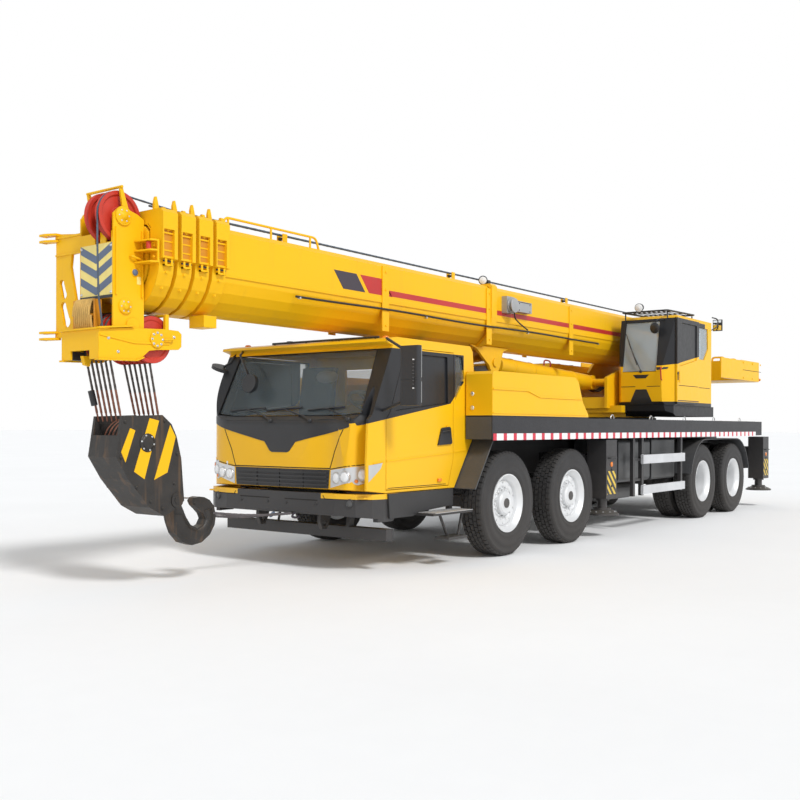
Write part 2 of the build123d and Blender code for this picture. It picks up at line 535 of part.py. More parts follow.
# ================================================================ superstructure
tt = cyl_z(SLEW_X, 0, 740, 1476, 1580)                                           # rotating race and table
tt = tt + box(SLEW_X + 760, SLEW_X - 1500, -620, 620, 1540, 1640)                # base plate
for s in (1, -1):
    # tall side cheeks that carry the boom foot and the lift cylinder's foot
    cheek = prism_xz([(-4150, 1600), (-4150, 2040), (-4600, 2160), (-5300, 2180), (-6000, 2740), (-6500, 2760), (-6620, 2500), (-7000, 2120), (-7000, 1900), (-6500, 1620)], s * 400, s * 440)
    tt = tt + cheek
tt = tt + box(-4180, -4300, -400, 400, 1600, 1760) + box(-6976, -7000, -400, 400, 1900, 2120)
tt = tt - cyl_y(BOOM_PIVOT[0], BOOM_PIVOT[1], 62, -500, 500)
tt = tt - cyl_y(LIFT_BASE[0], LIFT_BASE[1], 52, -500, 500)
# rear frame out to the counterweight
tt = tt + [box(-6900, -8240, s * 400, s * 440, 2172, 2400) for s in (1, -1)]
# bracket for the operator's cab on the left, locker on the right
tt = tt + (prism_xz([(-6230, 1640), (-6230, 1560), (-6130, 1490), (-4560, 1490), (-4400, 1560), (-4384, 1640)], 600, 1285) & prism_xy([(-4384, 600), (-4384, 1180), (-4480, 1285), (-6080, 1285), (-6230, 1120), (-6230, 600)], 1400, 1700))
tt = tt + box(-4420, -6000, -600, -1180, 1580, 1640)
tt = tt + box(-4500, -6050, -660, -1180, 1640, 2300)
# foot pins, short stubs in each cheek
save("turntable", tt)

# counterweight: slab across the tail with a side band each side
cw = prism_xy([(-7650, -1210), (-7650, 1210), (-8560, 1210), (-8660, 1165), (TAIL_X, 1080), (TAIL_X, -1080), (-8660, -1165), (-8560, -1210)], 2120, 2450)
cw = cw + [box(-6650, -7660, sgn * 1186, sgn * 1210, 2120, 2440) for sgn in (1, -1)]
cw = cw + [box(-7000, -7660, sgn * 1100, sgn * 1190, 2126, 2140) for sgn in (1, -1)]
cw = cw - box(-6000, -8240, -441, -399, 2100, 2405) - box(-6000, -8240, 399, 441, 2100, 2405)
save("counterweight", cw)

# winch: drum between the cheeks behind the boom foot
w = cyl_y(-6700, 2060, 170, -330, 330) + cyl_y(-6700, 2060, 270, -340, -318) + cyl_y(-6700, 2060, 270, 318, 340)
w = w + cyl_y(-6700, 2060, 90, -400, 400)
save("winch", w)

# lift cylinder: barrel on the table, rod in the barrel; both lie along the line of the two pins
ldx, ldz = LIFT_EYE[0] - LIFT_BASE[0], LIFT_EYE[1] - LIFT_BASE[1]
LIFT_ANGLE = math.degrees(math.atan2(ldz, ldx))
LIFT_LEN = math.hypot(ldx, ldz)


def along_lift(shape):
    """shape is built with the cylinder's axis on +X from the foot pin at the origin"""
    return shape.moved(Location((LIFT_BASE[0], 0, LIFT_BASE[1]), (0, -LIFT_ANGLE, 0)))


bar_l = cyl_x(0, 0, 116, 60, LIFT_LEN - 260) - cyl_x(0, 0, 96, 112, LIFT_LEN - 290) - cyl_x(0, 0, 83, LIFT_LEN - 320, LIFT_LEN - 200)
bar_l = bar_l + cyl_y(0, 0, 105, -95, 95) - cyl_y(0, 0, 51, -120, 120)
bar_l = bar_l + cyl_y(0, 0, 50, -440, 440)
bar_l = bar_l + cyl_x(0, 0, 126, LIFT_LEN - 285, LIFT_LEN - 250) - cyl_x(0, 0, 83, LIFT_LEN - 340, LIFT_LEN - 200)
save("lift_cylinder", along_lift(bar_l))
rod_l = cyl_x(0, 0, 80, 150, LIFT_LEN - 90) + cyl_x(0, 0, 94, 115, 160) + (cyl_y(LIFT_LEN, 0, 108, -90, 90) - cyl_y(LIFT_LEN, 0, 54, -120, 120))
save("lift_rod", along_lift(rod_l))

# operator's cab, hollow, on the left of the table
OC = dict(x1=-4360.0, x0=-6080.0, y0=505.0, y1=1300.0, z0=1640.0, z1=2905.0)
oc_prof = [(OC["x0"], OC["z0"]), (OC["x1"] - 30, OC["z0"]), (OC["x1"], OC["z0"] + 60), (OC["x1"] + 10, 2120), (OC["x1"] - 130, OC["z1"] - 40), (OC["x1"] - 190, OC["z1"]), (OC["x0"] + 90, OC["z1"]), (OC["x0"], OC["z1"] - 90)]


def oc_body(t):
    pr = [(OC["x0"] + t, OC["z0"] + t), (OC["x1"] - 30 - t, OC["z0"] + t), (OC["x1"] - t, OC["z0"] + 60 + t * 0.5), (OC["x1"] + 10 - t, 2120), (OC["x1"] - 130 - t, OC["z1"] - 40 - t * 0.6), (OC["x1"] - 190 - t * 0.6, OC["z1"] - t), (OC["x0"] + 90 + t * 0.4, OC["z1"] - t), (OC["x0"] + t, OC["z1"] - 90 - t * 0.4)]
    pl = [(OC["x0"] + t, OC["y0"] + t), (OC["x1"] - 60, OC["y0"] + t), (OC["x1"] + 12 - t, OC["y0"] + 60 + t * 0.4), (OC["x1"] + 12 - t, OC["y1"] - 150 - t * 0.4), (OC["x1"] - 120 - t * 0.4, OC["y1"] - t), (OC["x0"] + 140 + t * 0.4, OC["y1"] - t), (OC["x0"] + t, OC["y1"] - 120 - t * 0.4)]
    return prism_xz(pr, -100, 2000) & prism_xy(pl, 1500, 3100)


oc = oc_body(0) - oc_body(38)
oc_door = [(-4500, 1680), (-4500, 2860), (-5300, 2860), (-5300, 1680)]
oc_dwin = [(-4560, 2180), (-4640, 2800), (-5230, 2800), (-5230, 2300)]
oc_qwin = [(-5360, 2330), (-5360, 2800), (-5780, 2800), (-5800, 2500), (-5640, 2330)]
oc = oc - prism_xz(oc_door, 1200, 1400)
oc = oc - prism_xz(oc_qwin, 1200, 1400)
oc = oc - prism_yz([(580, 2110), (1080, 2110), (1080, 2820), (580, 2820)], -4700, -4300)
oc = oc - box(-4700, -5900, 450, 560, 2200, 2780)
oc = oc - prism_yz([(600, 2250), (1100, 2250), (1100, 2780), (600, 2780)], -6200, -6000)
oc = oc - box(-4750, -5700, 650, 1150, OC["z1"] - 60, OC["z1"] + 20)
save("operator_cab", oc)
og = []
og.append(prism_xz([(OC["x1"] + 10 - 12, 2120), (OC["x1"] - 130 - 12, 2865), (OC["x1"] - 130 - 18, 2865), (OC["x1"] + 10 - 18, 2120)], 584, 1076) & prism_yz([(584, 2114), (1076, 2114), (1076, 2816), (584, 2816)], -4700, -4300))
og.append(box(-4704, -5896, 520, 526, 2204, 2776))
og.append(box(-6064, -6058, 604, 1096, 2254, 2776))
og.append(box(-4754, -5696, 654, 1146, OC["z1"] - 30, OC["z1"] - 24))
og.append(prism_xz(inset_poly(oc_qwin, 3), 1280, 1286))
save("operator_cab_glass", og)
# sliding door on the outside of the wall, with its pane
od = prism_xz(inset_poly(oc_door, -20), OC["y1"] + 8, OC["y1"] + 38) - prism_xz(oc_dwin, 1200, 1400)
od = od + box(-4545, -4600, OC["y1"] + 36, OC["y1"] + 48, 1960, 2120)
save("operator_door", od, prism_xz(inset_poly(oc_dwin, 2), OC["y1"] + 18, OC["y1"] + 24))
# operator's seat and console
os_ = prism_xz([(-5500, 1690), (-5000, 1690), (-5000, 2050), (-5480, 2080)], 700, 1100) + prism_xz([(-5500, 2000), (-5400, 2060), (-5560, 2640), (-5640, 2630)], 700, 1100)
os_ = os_ + box(-4460, -4640, 680, 1000, 1700, 2060)
os_ = os_ + box(-4640, -5000, 780, 820, 1690, 1720)
save("operator_seat", os_)

# ================================================================ boom
def boom_section(hw, top, bottom, x0, x1, wall):
    """U-bottomed box section: flat top and upper sides, round lower half"""
    h = top - bottom
    mid = bottom + h * 0.50

    def outline(t):
        w_ = hw - t
        tp, bt = top - t, bottom + t
        rr = 46
        z_m = mid
        ang = []
        for i in range(0, 13):
            a = math.pi * i / 12
            ang.append((w_ * math.cos(a), z_m - (z_m - bt) * math.sin(a)))
        return [(w_, tp - rr), (w_ - rr, tp), (-w_ + rr, tp), (-w_, tp - rr)] + list(reversed(ang))[0:]
    o = prism_yz(outline(0), x0, x1)
    i = prism_yz(outline(wall), x0 - 5, x1 + 5)
    return o - i


def collar(x0, x1, hw_in, top_in, bottom_in, grow, x_box0=None, side_extra=0):
    """raised frame round a section's front end"""
    mid_in = bottom_in + (top_in - bottom_in) * 0.5

    def outline(t, extra=0.0):
        w_, tp, bt = hw_in + t + extra, top_in + t, bottom_in - t
        z_m = mid_in
        ang = []
        for i in range(0, 13):
            a = math.pi * i / 12
            ang.append(((hw_in + t) * math.cos(a), z_m - (z_m - bt) * math.sin(a)))
        return [(w_, tp - 30), (w_ - 30, tp), (-w_ + 30, tp), (-w_, tp - 30), (-w_, z_m + 5)] + list(reversed(ang)) + [(w_, z_m + 5)]
    o = prism_yz(outline(grow, side_extra), x0, x1)
    i = prism_yz(outline(-4.0), x0 - 5, x1 + 5)
    return o, i


def sect(k):
    """outer half width, top and bottom of section k (1 = base)"""
    d = SECTION_STEP * (k - 1)
    return BOOM_HALF_W - d, BOOM_TOP - d, BOOM_BOTTOM + d


COLLAR_X0 = 3120.0   # rear face of the base section's collar
COLLAR_LEN = 150.0
REAR_END = (-6500.0, -6050.0, -6010.0, -5970.0, -5930.0)
WALL = (10.0, 9.0, 9.0, 8.0, 8.0)


def section_with_collar(k):
    hw, tp, bt = sect(k)
    xc0 = COLLAR_X0 + SECTION_GAP_X * (k - 1)
    xc1 = xc0 + COLLAR_LEN
    s = boom_section(hw, tp, bt, REAR_END[k - 1], xc1, WALL[k - 1])
    grow = 34 + SECTION_STEP * (k - 1)
    o, i = collar(xc0, xc1, hw, tp, bt, grow, side_extra=44)
    ring = o - i
    # hollow the side boxes a little: a shallow window on each side
    for sgn in (1, -1):
        ring = ring - box(xc0 + 35, xc1 - 12, sgn * (hw + grow + 12), sgn * (hw + grow + 90), BOOM_TOP - 360, BOOM_TOP - 130)
    # the guide fin for the hoist rope on top
    fin = prism_yz([(-60, tp + grow - 2), (-40, tp + grow + 26), (40, tp + grow + 26), (60, tp + grow - 2)], xc0 + 8, xc0 + 40)
    fin2 = prism_yz([(hw - 40, tp + grow - 10), (hw - 20, tp + grow + 40), (hw, tp + grow + 40), (hw + 20, tp + grow - 10)], xc0 + 4, xc0 + 34)
    return s + ring + fin + fin2


b1 = section_with_collar(1)
hw, tp, bt = sect(1)
# foot: end plate, two bosses round the pin, doubler collar near the lift cylinder's lug
foot = [prism_xz([(-6500, 2380), (-6560, 2560), (-6350, 2770), (-5900, 2900), (-5900, 2330), (-6300, 2380)], s * (BOOM_HALF_W - 2), s * (BOOM_HALF_W + 34)) for s in (1, -1)]
foot = [f + cyl_y(BOOM_PIVOT[0], BOOM_PIVOT[1], 120, s * (BOOM_HALF_W + 2), s * (BOOM_HALF_W + 38)) for f, s in zip(foot, (1, -1))]
pin = [cyl_y(BOOM_PIVOT[0], BOOM_PIVOT[1], 60, s * (BOOM_HALF_W + 2), s * 470) for s in (1, -1)]
b1 = fuse(b1, foot, pin, box(-6500, -6488, -330, 330, 2420, 2900))
o, i = collar(-1250, -1130, hw, tp, bt, 26)
b1 = b1 + (o - i)
# saddle and lug plates that take the lift cylinder's rod
for s in (1, -1):
    b1 = b1 + prism_xz([(-1900, 2306), (-1000, 2306), (-1150, 2265), (-1430, 2080), (-1480, 2010), (-1640, 2010), (-1690, 2080), (-1760, 2265)], s * 125, s * 160)
    b1 = b1 - cyl_y(LIFT_EYE[0], LIFT_EYE[1], 52, s * 100, s * 180)
b1 = b1 + cyl_y(LIFT_EYE[0], LIFT_EYE[1], 50, -175, 175)
# front wear pad block under the base collar
b1 = b1 + box(3150, 3290, 120, 300, 2150, 2250)
save("boom_base", b1)
for k in (2, 3, 4):
    save("boom_section_%d" % k, section_with_collar(k))

# boom head on the fifth section
hw, tp, bt = sect(5)
h5 = boom_section(hw, tp, bt, REAR_END[4], 3842, WALL[4]) + boom_section(hw, tp, bt, 3816, 3842, 110)
side = [(HEAD_X, 2075), (HEAD_X, 2965), (4088, 3006), (3990, 3012), (3900, 2988), (3836, 2955), (3836, 2075)]
low = [(4280, 2062), (4010, 2090), (3640, 2108), (3505, 2104), (3472, 2078), (3474, 1975), (3505, 1950), (3720, 1936),
       (3800, 1925), (3870, 1870), (3930, 1845), (4280, 1835)]
for s in (1, -1):
    h5 = h5 + prism_xz(side, s * (HEAD_HW - 16), s * HEAD_HW)
    h5 = h5 + cyl_y(4040, 2955, 74, s * (HEAD_HW - 2), s * (HEAD_HW + 14))
    h5 = h5 + cyl_y(3950, 2112, 62, s * (HEAD_HW - 2), s * (HEAD_HW + 12))
    # lower cheek that carries the two rows of hoist sheaves, with its flanges and pin bosses
    h5 = h5 + prism_xz(low, s * (HEAD_HW - 4), s * (HEAD_HW + 24))
    h5 = h5 + prism_xz([(4292, 2064), (3960, 2100), (3960, 2114), (4292, 2078)], s * (HEAD_HW - 10), s * (HEAD_HW + 48))
    h5 = h5 + prism_xz([(4292, 1826), (3926, 1836), (3862, 1862), (3862, 1874), (3930, 1849), (4292, 1839)], s * (HEAD_HW - 10), s * (HEAD_HW + 40))
    h5 = h5 + cyl_y(3730, 2020, 68, s * (HEAD_HW + 20), s * (HEAD_HW + 38))
    h5 = h5 + box(3604, 3640, s * (HEAD_HW - 4), s * (HEAD_HW + 24), 2095, 2228)
    # post of the rope guard over the top sheaves
    h5 = h5 + prism_xz([(3978, 2990), (4040, 2990), (4070, 3176), (4046, 3184)], s * (HEAD_HW - 16), s * (HEAD_HW + 2))
h5 = h5 + cyl_y(3622, 2218, 12, -HEAD_HW, HEAD_HW) + cyl_y(4056, 3178, 11, -HEAD_HW - 12, HEAD_HW + 12)
plate = box(HEAD_X - 14, HEAD_X, -HEAD_HW + 8, HEAD_HW - 8, 2330, 2830)
plate = plate - box(4000, 4200, 117, 183, 2748, 2900) - box(4000, 4200, -18, 48, 2748, 2900)
h5 = h5 + plate + box(3836, HEAD_X - 4, -HEAD_HW + 8, HEAD_HW - 8, 2316, 2330)
h5 = h5 + box(4262, 4280, -HEAD_HW, HEAD_HW, 1905, 2062) + [box(4262, 4280, s * 120, s * (HEAD_HW - 2), 1837, 1908) for s in (1, -1)]
h5 = h5 + box(4172, 4300, -HEAD_HW - 26, HEAD_HW + 26, 2060, 2074)
h5 = h5 + cyl_y(4040, 2955, 40, -HEAD_HW, HEAD_HW) + cyl_y(3730, 2020, 40, -HEAD_HW - 30, HEAD_HW + 30) + cyl_y(3975, 2035, 36, -HEAD_HW, HEAD_HW)
# jib bracket on the right: a plate across the head with two long holes, forks at its outer corners
jb = prism_yz([(-540, 2040), (-540, 2870), (-505, 2882), (-200, 2850), (-200, 2705), (-330, 2700), (-345, 2600), (-220, 2115), (-205, 2040)], 4100, 4124)
jb = jb - (cyl_x(-462, 2478, 30, 4050, 4200) + cyl_x(-430, 2385, 34, 4050, 4200) + prism_yz([(-492, 2478), (-432, 2478), (-396, 2385), (-464, 2385)], 4050, 4200))
jb = jb - (cyl_x(-440, 2290, 38, 4050, 4200) + cyl_x(-395, 2165, 46, 4050, 4200) + prism_yz([(-478, 2290), (-402, 2290), (-349, 2165), (-441, 2165)], 4050, 4200))
jb = jb + box(4118, 4132, -540, -200, 2840, 2856) + box(4118, 4132, -540, -200, 2700, 2714)
for z in JIB_LUG_Z:
    for z0, z1 in ((z - 35, z - 17), (z + 17, z + 35)):
        lug = prism_xy([(4100, -505), (4100, -540), (4126, -640), (4126, -672), (4194, -672), (4194, -600), (4150, -505)], z0, z1)
        lug = lug - cyl_z(JIB_PIN[0], JIB_PIN[1], 20 if z > 2500 else 17, z0 - 5, z1 + 5)
        jb = jb + lug
    jb = jb + box(4100, 4126, -548, -505, z - 35, z + 35)
# second fork, behind the bracket
for z0, z1 in ((2845, 2863), (2897, 2915)):
    h5 = h5 + (prism_xy([(3856, -200), (3956, -200), (3936, -400), (3876, -400)], z0, z1) - cyl_z(3906, -362, 16, z0 - 5, z1 + 5))
h5 = h5 + jb
save("boom_head", h5)

# sheaves: one row on top, two rows below
def sheave(x, z, r, y, hub=41.0, w_=46.0):
    h = w_ / 2
    return revolve_y([(hub, y - h), (70, y - h), (74, y - 8), (r - 40, y - 8), (r - 30, y - h), (r, y - h), (r - 22, y), (r, y + h), (r - 30, y + h), (r - 40, y + 8), (74, y + 8), (70, y + h), (hub, y + h)], x, z)


sh = [sheave(4040, 2955, 198, y) for y in (150, 15)]
sh += [sheave(3730, 2020, 190, y, w_=30) for y in (-170, -102, -34, 34, 102, 170)]
sh += [sheave(3975, 2035, 185, y, hub=37.0, w_=30) for y in (-136, -68, 0, 68, 136)]
save("head_sheaves", sh)

# ================================================================ hook block and hook, in the pose they are lashed in
FALL = (-math.sin(math.radians(HOOK_TILT)), -math.cos(math.radians(HOOK_TILT)))
wx, wz = 4063.0, 1550.0
lw = rod((wx - FALL[0] * 60, -135, wz - FALL[1] * 60), (wx + FALL[0] * 60, -135, wz + FALL[1] * 60), 26)
save("limit_weight", lw)
CHEEK = [(4022, 1405), (3623, 1419), (3528, 1345), (3474, 1242), (3425, 1062), (3393, 711), (3550, 617), (3603, 598), (3754, 677), (3956, 905), (4075, 1086)]
cgx, cgz = 3740.0, 1050.0


def edge_plate(p, q, t, y0, y1):
    """plate of thickness t along the edge p-q of the cheek, on its inner side"""
    dx, dz = q[0] - p[0], q[1] - p[1]
    L = math.hypot(dx, dz)
    nx, nz = -dz / L, dx / L
    if (cgx - p[0]) * nx + (cgz - p[1]) * nz < 0:
        nx, nz = -nx, -nz
    return prism_xz([p, q, (q[0] + nx * t, q[1] + nz * t), (p[0] + nx * t, p[1] + nz * t)], y0, y1)


hb = None
for s in (1, -1):
    c = prism_xz(CHEEK, s * 152, s * 180)
    hb = c if hb is None else hb + c
for p, q in ((CHEEK[10], CHEEK[9]), (CHEEK[9], CHEEK[8]), (CHEEK[8], CHEEK[7]), ((4046, 1255), CHEEK[10]), (CHEEK[4], (3405, 860)), (CHEEK[3], CHEEK[4])):
    hb = hb + edge_plate(p, q, 14, -154, 154)
hb = hb + cyl_y(3775, 1195, 48, -196, 196)
for y in (-125.0, -75.0, -25.0, 25.0, 75.0, 125.0):
    hb = hb + cyl_y(3775, 1195, 188, y - 18, y + 18)
for y in (-152.0, 140.0):
    hb = hb + prism_xz(inset_poly(CHEEK[:1] + CHEEK[1:6] + CHEEK[9:11], 60), y, y + 14)
hb = hb + cyl_y(HOOK_PIN[0], HOOK_PIN[1], 30, -192, 192)
for s in (1, -1):
    hb = hb + cyl_y(HOOK_PIN[0], HOOK_PIN[1], 62, s * 176, s * 188)
save("hook_block", hb)

# forged single hook drawn back about its pin
HOOK_OUT = [(3500, 772), (3440, 790), (3338, 712), (3296, 641), (3256, 560), (3205, 490), (3130, 453), (3068, 478), (3036, 530), (3058, 575), (3098, 612),
            (3146, 652), (3166, 688), (3150, 716), (3105, 724), (3050, 716), (2988, 688), (2938, 632), (2916, 551), (2930, 468), (2985, 388), (3080, 328),
            (3188, 313), (3290, 345), (3370, 428), (3410, 520), (3432, 606), (3500, 660)]
hk = prism_xz(HOOK_OUT, -45, 45) + cyl_y(HOOK_PIN[0], HOOK_PIN[1], 68, -60, 60)
hk = hk - cyl_y(HOOK_PIN[0], HOOK_PIN[1], 30.4, -80, 80)
save("hook", hk)

tot = sum(c.volume for c in WRITTEN.values()) / 1e9
xs = [c.bounding_box() for c in WRITTEN.values()]
print("total solid volume m3", round(tot, 3), "nodes", len(WRITTEN))
print("box x", min(b.min.X for b in xs), max(b.max.X for b in xs), "y", min(b.min.Y for b in xs), max(b.max.Y for b in xs), "z", min(b.min.Z for b in xs), max(b.max.Z for b in xs))
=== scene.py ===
import bpy, math, random
from mathutils import Vector, Matrix
from mathutils.bvhtree import BVHTree
from mathutils.geometry import delaunay_2d_cdt


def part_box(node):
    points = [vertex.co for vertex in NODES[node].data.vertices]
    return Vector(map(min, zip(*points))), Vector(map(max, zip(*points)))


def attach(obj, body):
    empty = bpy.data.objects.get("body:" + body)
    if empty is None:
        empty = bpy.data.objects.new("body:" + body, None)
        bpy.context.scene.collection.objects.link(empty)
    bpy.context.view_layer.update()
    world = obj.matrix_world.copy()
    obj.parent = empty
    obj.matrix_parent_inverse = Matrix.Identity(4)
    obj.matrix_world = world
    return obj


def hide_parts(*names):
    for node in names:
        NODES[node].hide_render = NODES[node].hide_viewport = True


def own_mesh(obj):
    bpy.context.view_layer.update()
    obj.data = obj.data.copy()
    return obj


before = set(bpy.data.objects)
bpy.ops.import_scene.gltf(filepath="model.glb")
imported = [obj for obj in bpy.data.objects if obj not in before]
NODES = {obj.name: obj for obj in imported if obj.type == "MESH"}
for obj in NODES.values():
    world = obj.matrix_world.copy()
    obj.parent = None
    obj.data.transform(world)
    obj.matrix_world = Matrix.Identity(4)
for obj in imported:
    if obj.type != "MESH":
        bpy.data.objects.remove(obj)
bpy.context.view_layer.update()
SX = 2.245     # the first axle's place along X; lengths below are in metres from that axle
random.seed(7)
sin, cos, pi = math.sin, math.cos, math.pi


# ------------------------------------------------------------------ materials
def nt(m):
    m.use_nodes = True
    return m.node_tree.nodes, m.node_tree.links


def N(nodes, kind, **kw):
    n = nodes.new(kind)
    for k, v in kw.items():
        setattr(n, k, v)
    return n


def math_n(nodes, links, op, a, b=None, clamp=False):
    n = nodes.new("ShaderNodeMath"); n.operation = op; n.use_clamp = clamp
    for i, v in enumerate((a, b)):
        if v is None:
            continue
        if isinstance(v, (int, float)):
            n.inputs[i].default_value = v
        else:
            links.new(v, n.inputs[i])
    return n.outputs[0]


def mixc(nodes, links, fac, a, b, blend='MIX'):
    n = nodes.new("ShaderNodeMix"); n.data_type = 'RGBA'; n.blend_type = blend
    if isinstance(fac, (int, float)):
        n.inputs[0].default_value = fac
    else:
        links.new(fac, n.inputs[0])
    for i, v in ((6, a), (7, b)):
        if isinstance(v, tuple):
            n.inputs[i].default_value = (*v[:3], 1)
        else:
            links.new(v, n.inputs[i])
    return n.outputs[2]


def make(name, col, rough=0.45, metal=0.0, var=0.14, scale=1.6, grime=0.0, dust=0.0, bump=0.0, bscale=90.0,
         coat=0.0, alpha=1.0, masks=(), soft=0.0, streak=0.0, emis=0.0, spec=0.5):
    """a procedural finish: colour that varies, dirt low down, dust on top, fine relief; masks are (test, colour) pairs"""
    m = bpy.data.materials.new(name)
    nodes, links = nt(m)
    b = nodes["Principled BSDF"]
    tc = nodes.new("ShaderNodeTexCoord")
    sep = nodes.new("ShaderNodeSeparateXYZ"); links.new(tc.outputs["Object"], sep.inputs[0])
    X, Y, Z = sep.outputs
    n1 = nodes.new("ShaderNodeTexNoise"); n1.inputs["Scale"].default_value = scale; n1.inputs["Detail"].default_value = 6.0
    n2 = nodes.new("ShaderNodeTexNoise"); n2.inputs["Scale"].default_value = scale * 14; n2.inputs["Detail"].default_value = 4.0
    links.new(tc.outputs["Object"], n1.inputs["Vector"]); links.new(tc.outputs["Object"], n2.inputs["Vector"])
    base = col
    for test, c2 in masks:
        base = mixc(nodes, links, test(nodes, links, X, Y, Z), base, c2)
    spread = math_n(nodes, links, 'MULTIPLY', math_n(nodes, links, 'SUBTRACT', n1.outputs["Fac"], 0.5), var * 3.2)
    fine = math_n(nodes, links, 'MULTIPLY', math_n(nodes, links, 'SUBTRACT', n2.outputs["Fac"], 0.5), var * 0.9)
    val = math_n(nodes, links, 'ADD', math_n(nodes, links, 'ADD', spread, fine), 1.0)
    hs = nodes.new("ShaderNodeHueSaturation")
    links.new(val, hs.inputs["Value"])
    if isinstance(base, tuple):
        hs.inputs["Color"].default_value = (*base, 1)
    else:
        links.new(base, hs.inputs["Color"])
    c = hs.outputs["Color"]
    if streak:
        mp = nodes.new("ShaderNodeMapping"); mp.inputs["Scale"].default_value = (9.0, 9.0, 0.7)
        links.new(tc.outputs["Object"], mp.inputs[0])
        n3 = nodes.new("ShaderNodeTexNoise"); n3.inputs["Scale"].default_value = 1.5; n3.inputs["Detail"].default_value = 5.0
        links.new(mp.outputs[0], n3.inputs["Vector"])
        f = math_n(nodes, links, 'MULTIPLY', math_n(nodes, links, 'SUBTRACT', n3.outputs["Fac"], 0.56), streak * 9, True)
        f = math_n(nodes, links, 'MINIMUM', f, streak)
        c = mixc(nodes, links, f, c, (0.20, 0.11, 0.05))
    if grime:
        low = math_n(nodes, links, 'MULTIPLY', math_n(nodes, links, 'SUBTRACT', 1.25, Z), 0.95, True)
        g = math_n(nodes, links, 'MULTIPLY', math_n(nodes, links, 'MULTIPLY', low, math_n(nodes, links, 'ADD', n2.outputs["Fac"], 0.25)), grime, True)
        c = mixc(nodes, links, g, c, (0.19, 0.155, 0.115))
    if dust:
        geo = nodes.new("ShaderNodeNewGeometry"); sn = nodes.new("ShaderNodeSeparateXYZ"); links.new(geo.outputs["Normal"], sn.inputs[0])
        up_ = math_n(nodes, links, 'MULTIPLY', math_n(nodes, links, 'SUBTRACT', sn.outputs[2], 0.45), 1.8, True)
        d = math_n(nodes, links, 'MULTIPLY', math_n(nodes, links, 'MULTIPLY', up_, n2.outputs["Fac"]), dust * 1.7, True)
        c = mixc(nodes, links, d, c, (0.36, 0.31, 0.23))
    links.new(c, b.inputs["Base Color"])
    r = math_n(nodes, links, 'ADD', math_n(nodes, links, 'MULTIPLY', math_n(nodes, links, 'SUBTRACT', n2.outputs["Fac"], 0.5), 0.25), rough, True)
    links.new(r, b.inputs["Roughness"])
    b.inputs["Metallic"].default_value = metal
    b.inputs["Alpha"].default_value = alpha
    b.inputs["Specular IOR Level"].default_value = spec
    if coat:
        b.inputs["Coat Weight"].default_value = coat; b.inputs["Coat Roughness"].default_value = 0.12
    if emis:
        b.inputs["Emission Color"].default_value = (*col, 1); b.inputs["Emission Strength"].default_value = emis
    last = None
    if soft:
        bv = nodes.new("ShaderNodeBevel"); bv.samples = 3; bv.inputs["Radius"].default_value = soft
        last = bv.outputs[0]
    if bump:
        n4 = nodes.new("ShaderNodeTexNoise"); n4.inputs["Scale"].default_value = bscale; n4.inputs["Detail"].default_value = 3.0
        links.new(tc.outputs["Object"], n4.inputs["Vector"])
        bp = nodes.new("ShaderNodeBump"); bp.inputs["Strength"].default_value = bump; bp.inputs["Distance"].default_value = 0.004
        links.new(n4.outputs["Fac"], bp.inputs["Height"])
        if last is not None:
            links.new(last, bp.inputs["Normal"])
        last = bp.outputs[0]
    if last is not None:
        links.new(last, b.inputs["Normal"])
    return m


def test_line(a, bx, z1=None, rear=None):
    """true above z = a + bx * x, below z1, ahead of the slanted line given by rear"""
    def f(nodes, links, X, Y, Z):
        x = math_n(nodes, links, 'SUBTRACT', X, SX)
        ln = math_n(nodes, links, 'ADD', math_n(nodes, links, 'MULTIPLY', x, bx), a)
        t = math_n(nodes, links, 'GREATER_THAN', Z, ln)
        if z1 is not None:
            t = math_n(nodes, links, 'MULTIPLY', t, math_n(nodes, links, 'LESS_THAN', Z, z1))
        if rear is not None:
            x0, z0, k = rear
            lim = math_n(nodes, links, 'ADD', math_n(nodes, links, 'MULTIPLY', math_n(nodes, links, 'MAXIMUM', math_n(nodes, links, 'SUBTRACT', z0, Z), 0.0), k), x0)
            t = math_n(nodes, links, 'MULTIPLY', t, math_n(nodes, links, 'GREATER_THAN', x, lim))
        return t
    return f


def test_box(x0=None, x1=None, y0=None, y1=None, z0=None, z1=None, absy=False):
    def f(nodes, links, X, Y, Z):
        x = math_n(nodes, links, 'SUBTRACT', X, SX)
        y = math_n(nodes, links, 'ABSOLUTE', Y) if absy else Y
        t = None
        for v, lo, hi in ((x, x0, x1), (y, y0, y1), (Z, z0, z1)):
            for lim, op in ((lo, 'GREATER_THAN'), (hi, 'LESS_THAN')):
                if lim is not None:
                    q = math_n(nodes, links, op, v, lim)
                    t = q if t is None else math_n(nodes, links, 'MULTIPLY', t, q)
        return t
    return f


YEL = (0.86, 0.475, 0.006)
DARK = (0.020, 0.021, 0.024)
yellow = make("yellow_paint", YEL, 0.40, var=0.035, scale=0.9, grime=0.12, dust=0.14, bump=0.05, bscale=240, soft=0.006, streak=0.04, spec=0.22)
yellow_p = make("yellow_paint_parts", YEL, 0.40, var=0.05, scale=0.9, grime=0.12, dust=0.14, bump=0.05, bscale=240, spec=0.22)
# a darker orange copy of the yellow paint: painted shade, for yellow parts that stand in shadow
painted_shade_yellow = make("yellow_in_shade", (0.60, 0.24, 0.008), 0.5, var=0.1, scale=2.2, grime=0.3)
cab_mat = make("cab_paint", YEL, 0.34, var=0.03, scale=0.9, grime=0.06, dust=0.10, bump=0.03, bscale=240, coat=0.06, soft=0.006, spec=0.28,
               masks=((test_line(1.557 + 0.155 * 0.755, -0.155, 2.046, (0.519, 1.774, 1.0876)), DARK),))
bumper_mat = make("bumper_paint", (0.03, 0.03, 0.033), 0.45, var=0.12, scale=2.0, grime=0.10, dust=0.1, bump=0.10, bscale=300, soft=0.004,
                  masks=((test_box(y0=0.54, z0=0.676, absy=True), YEL),))
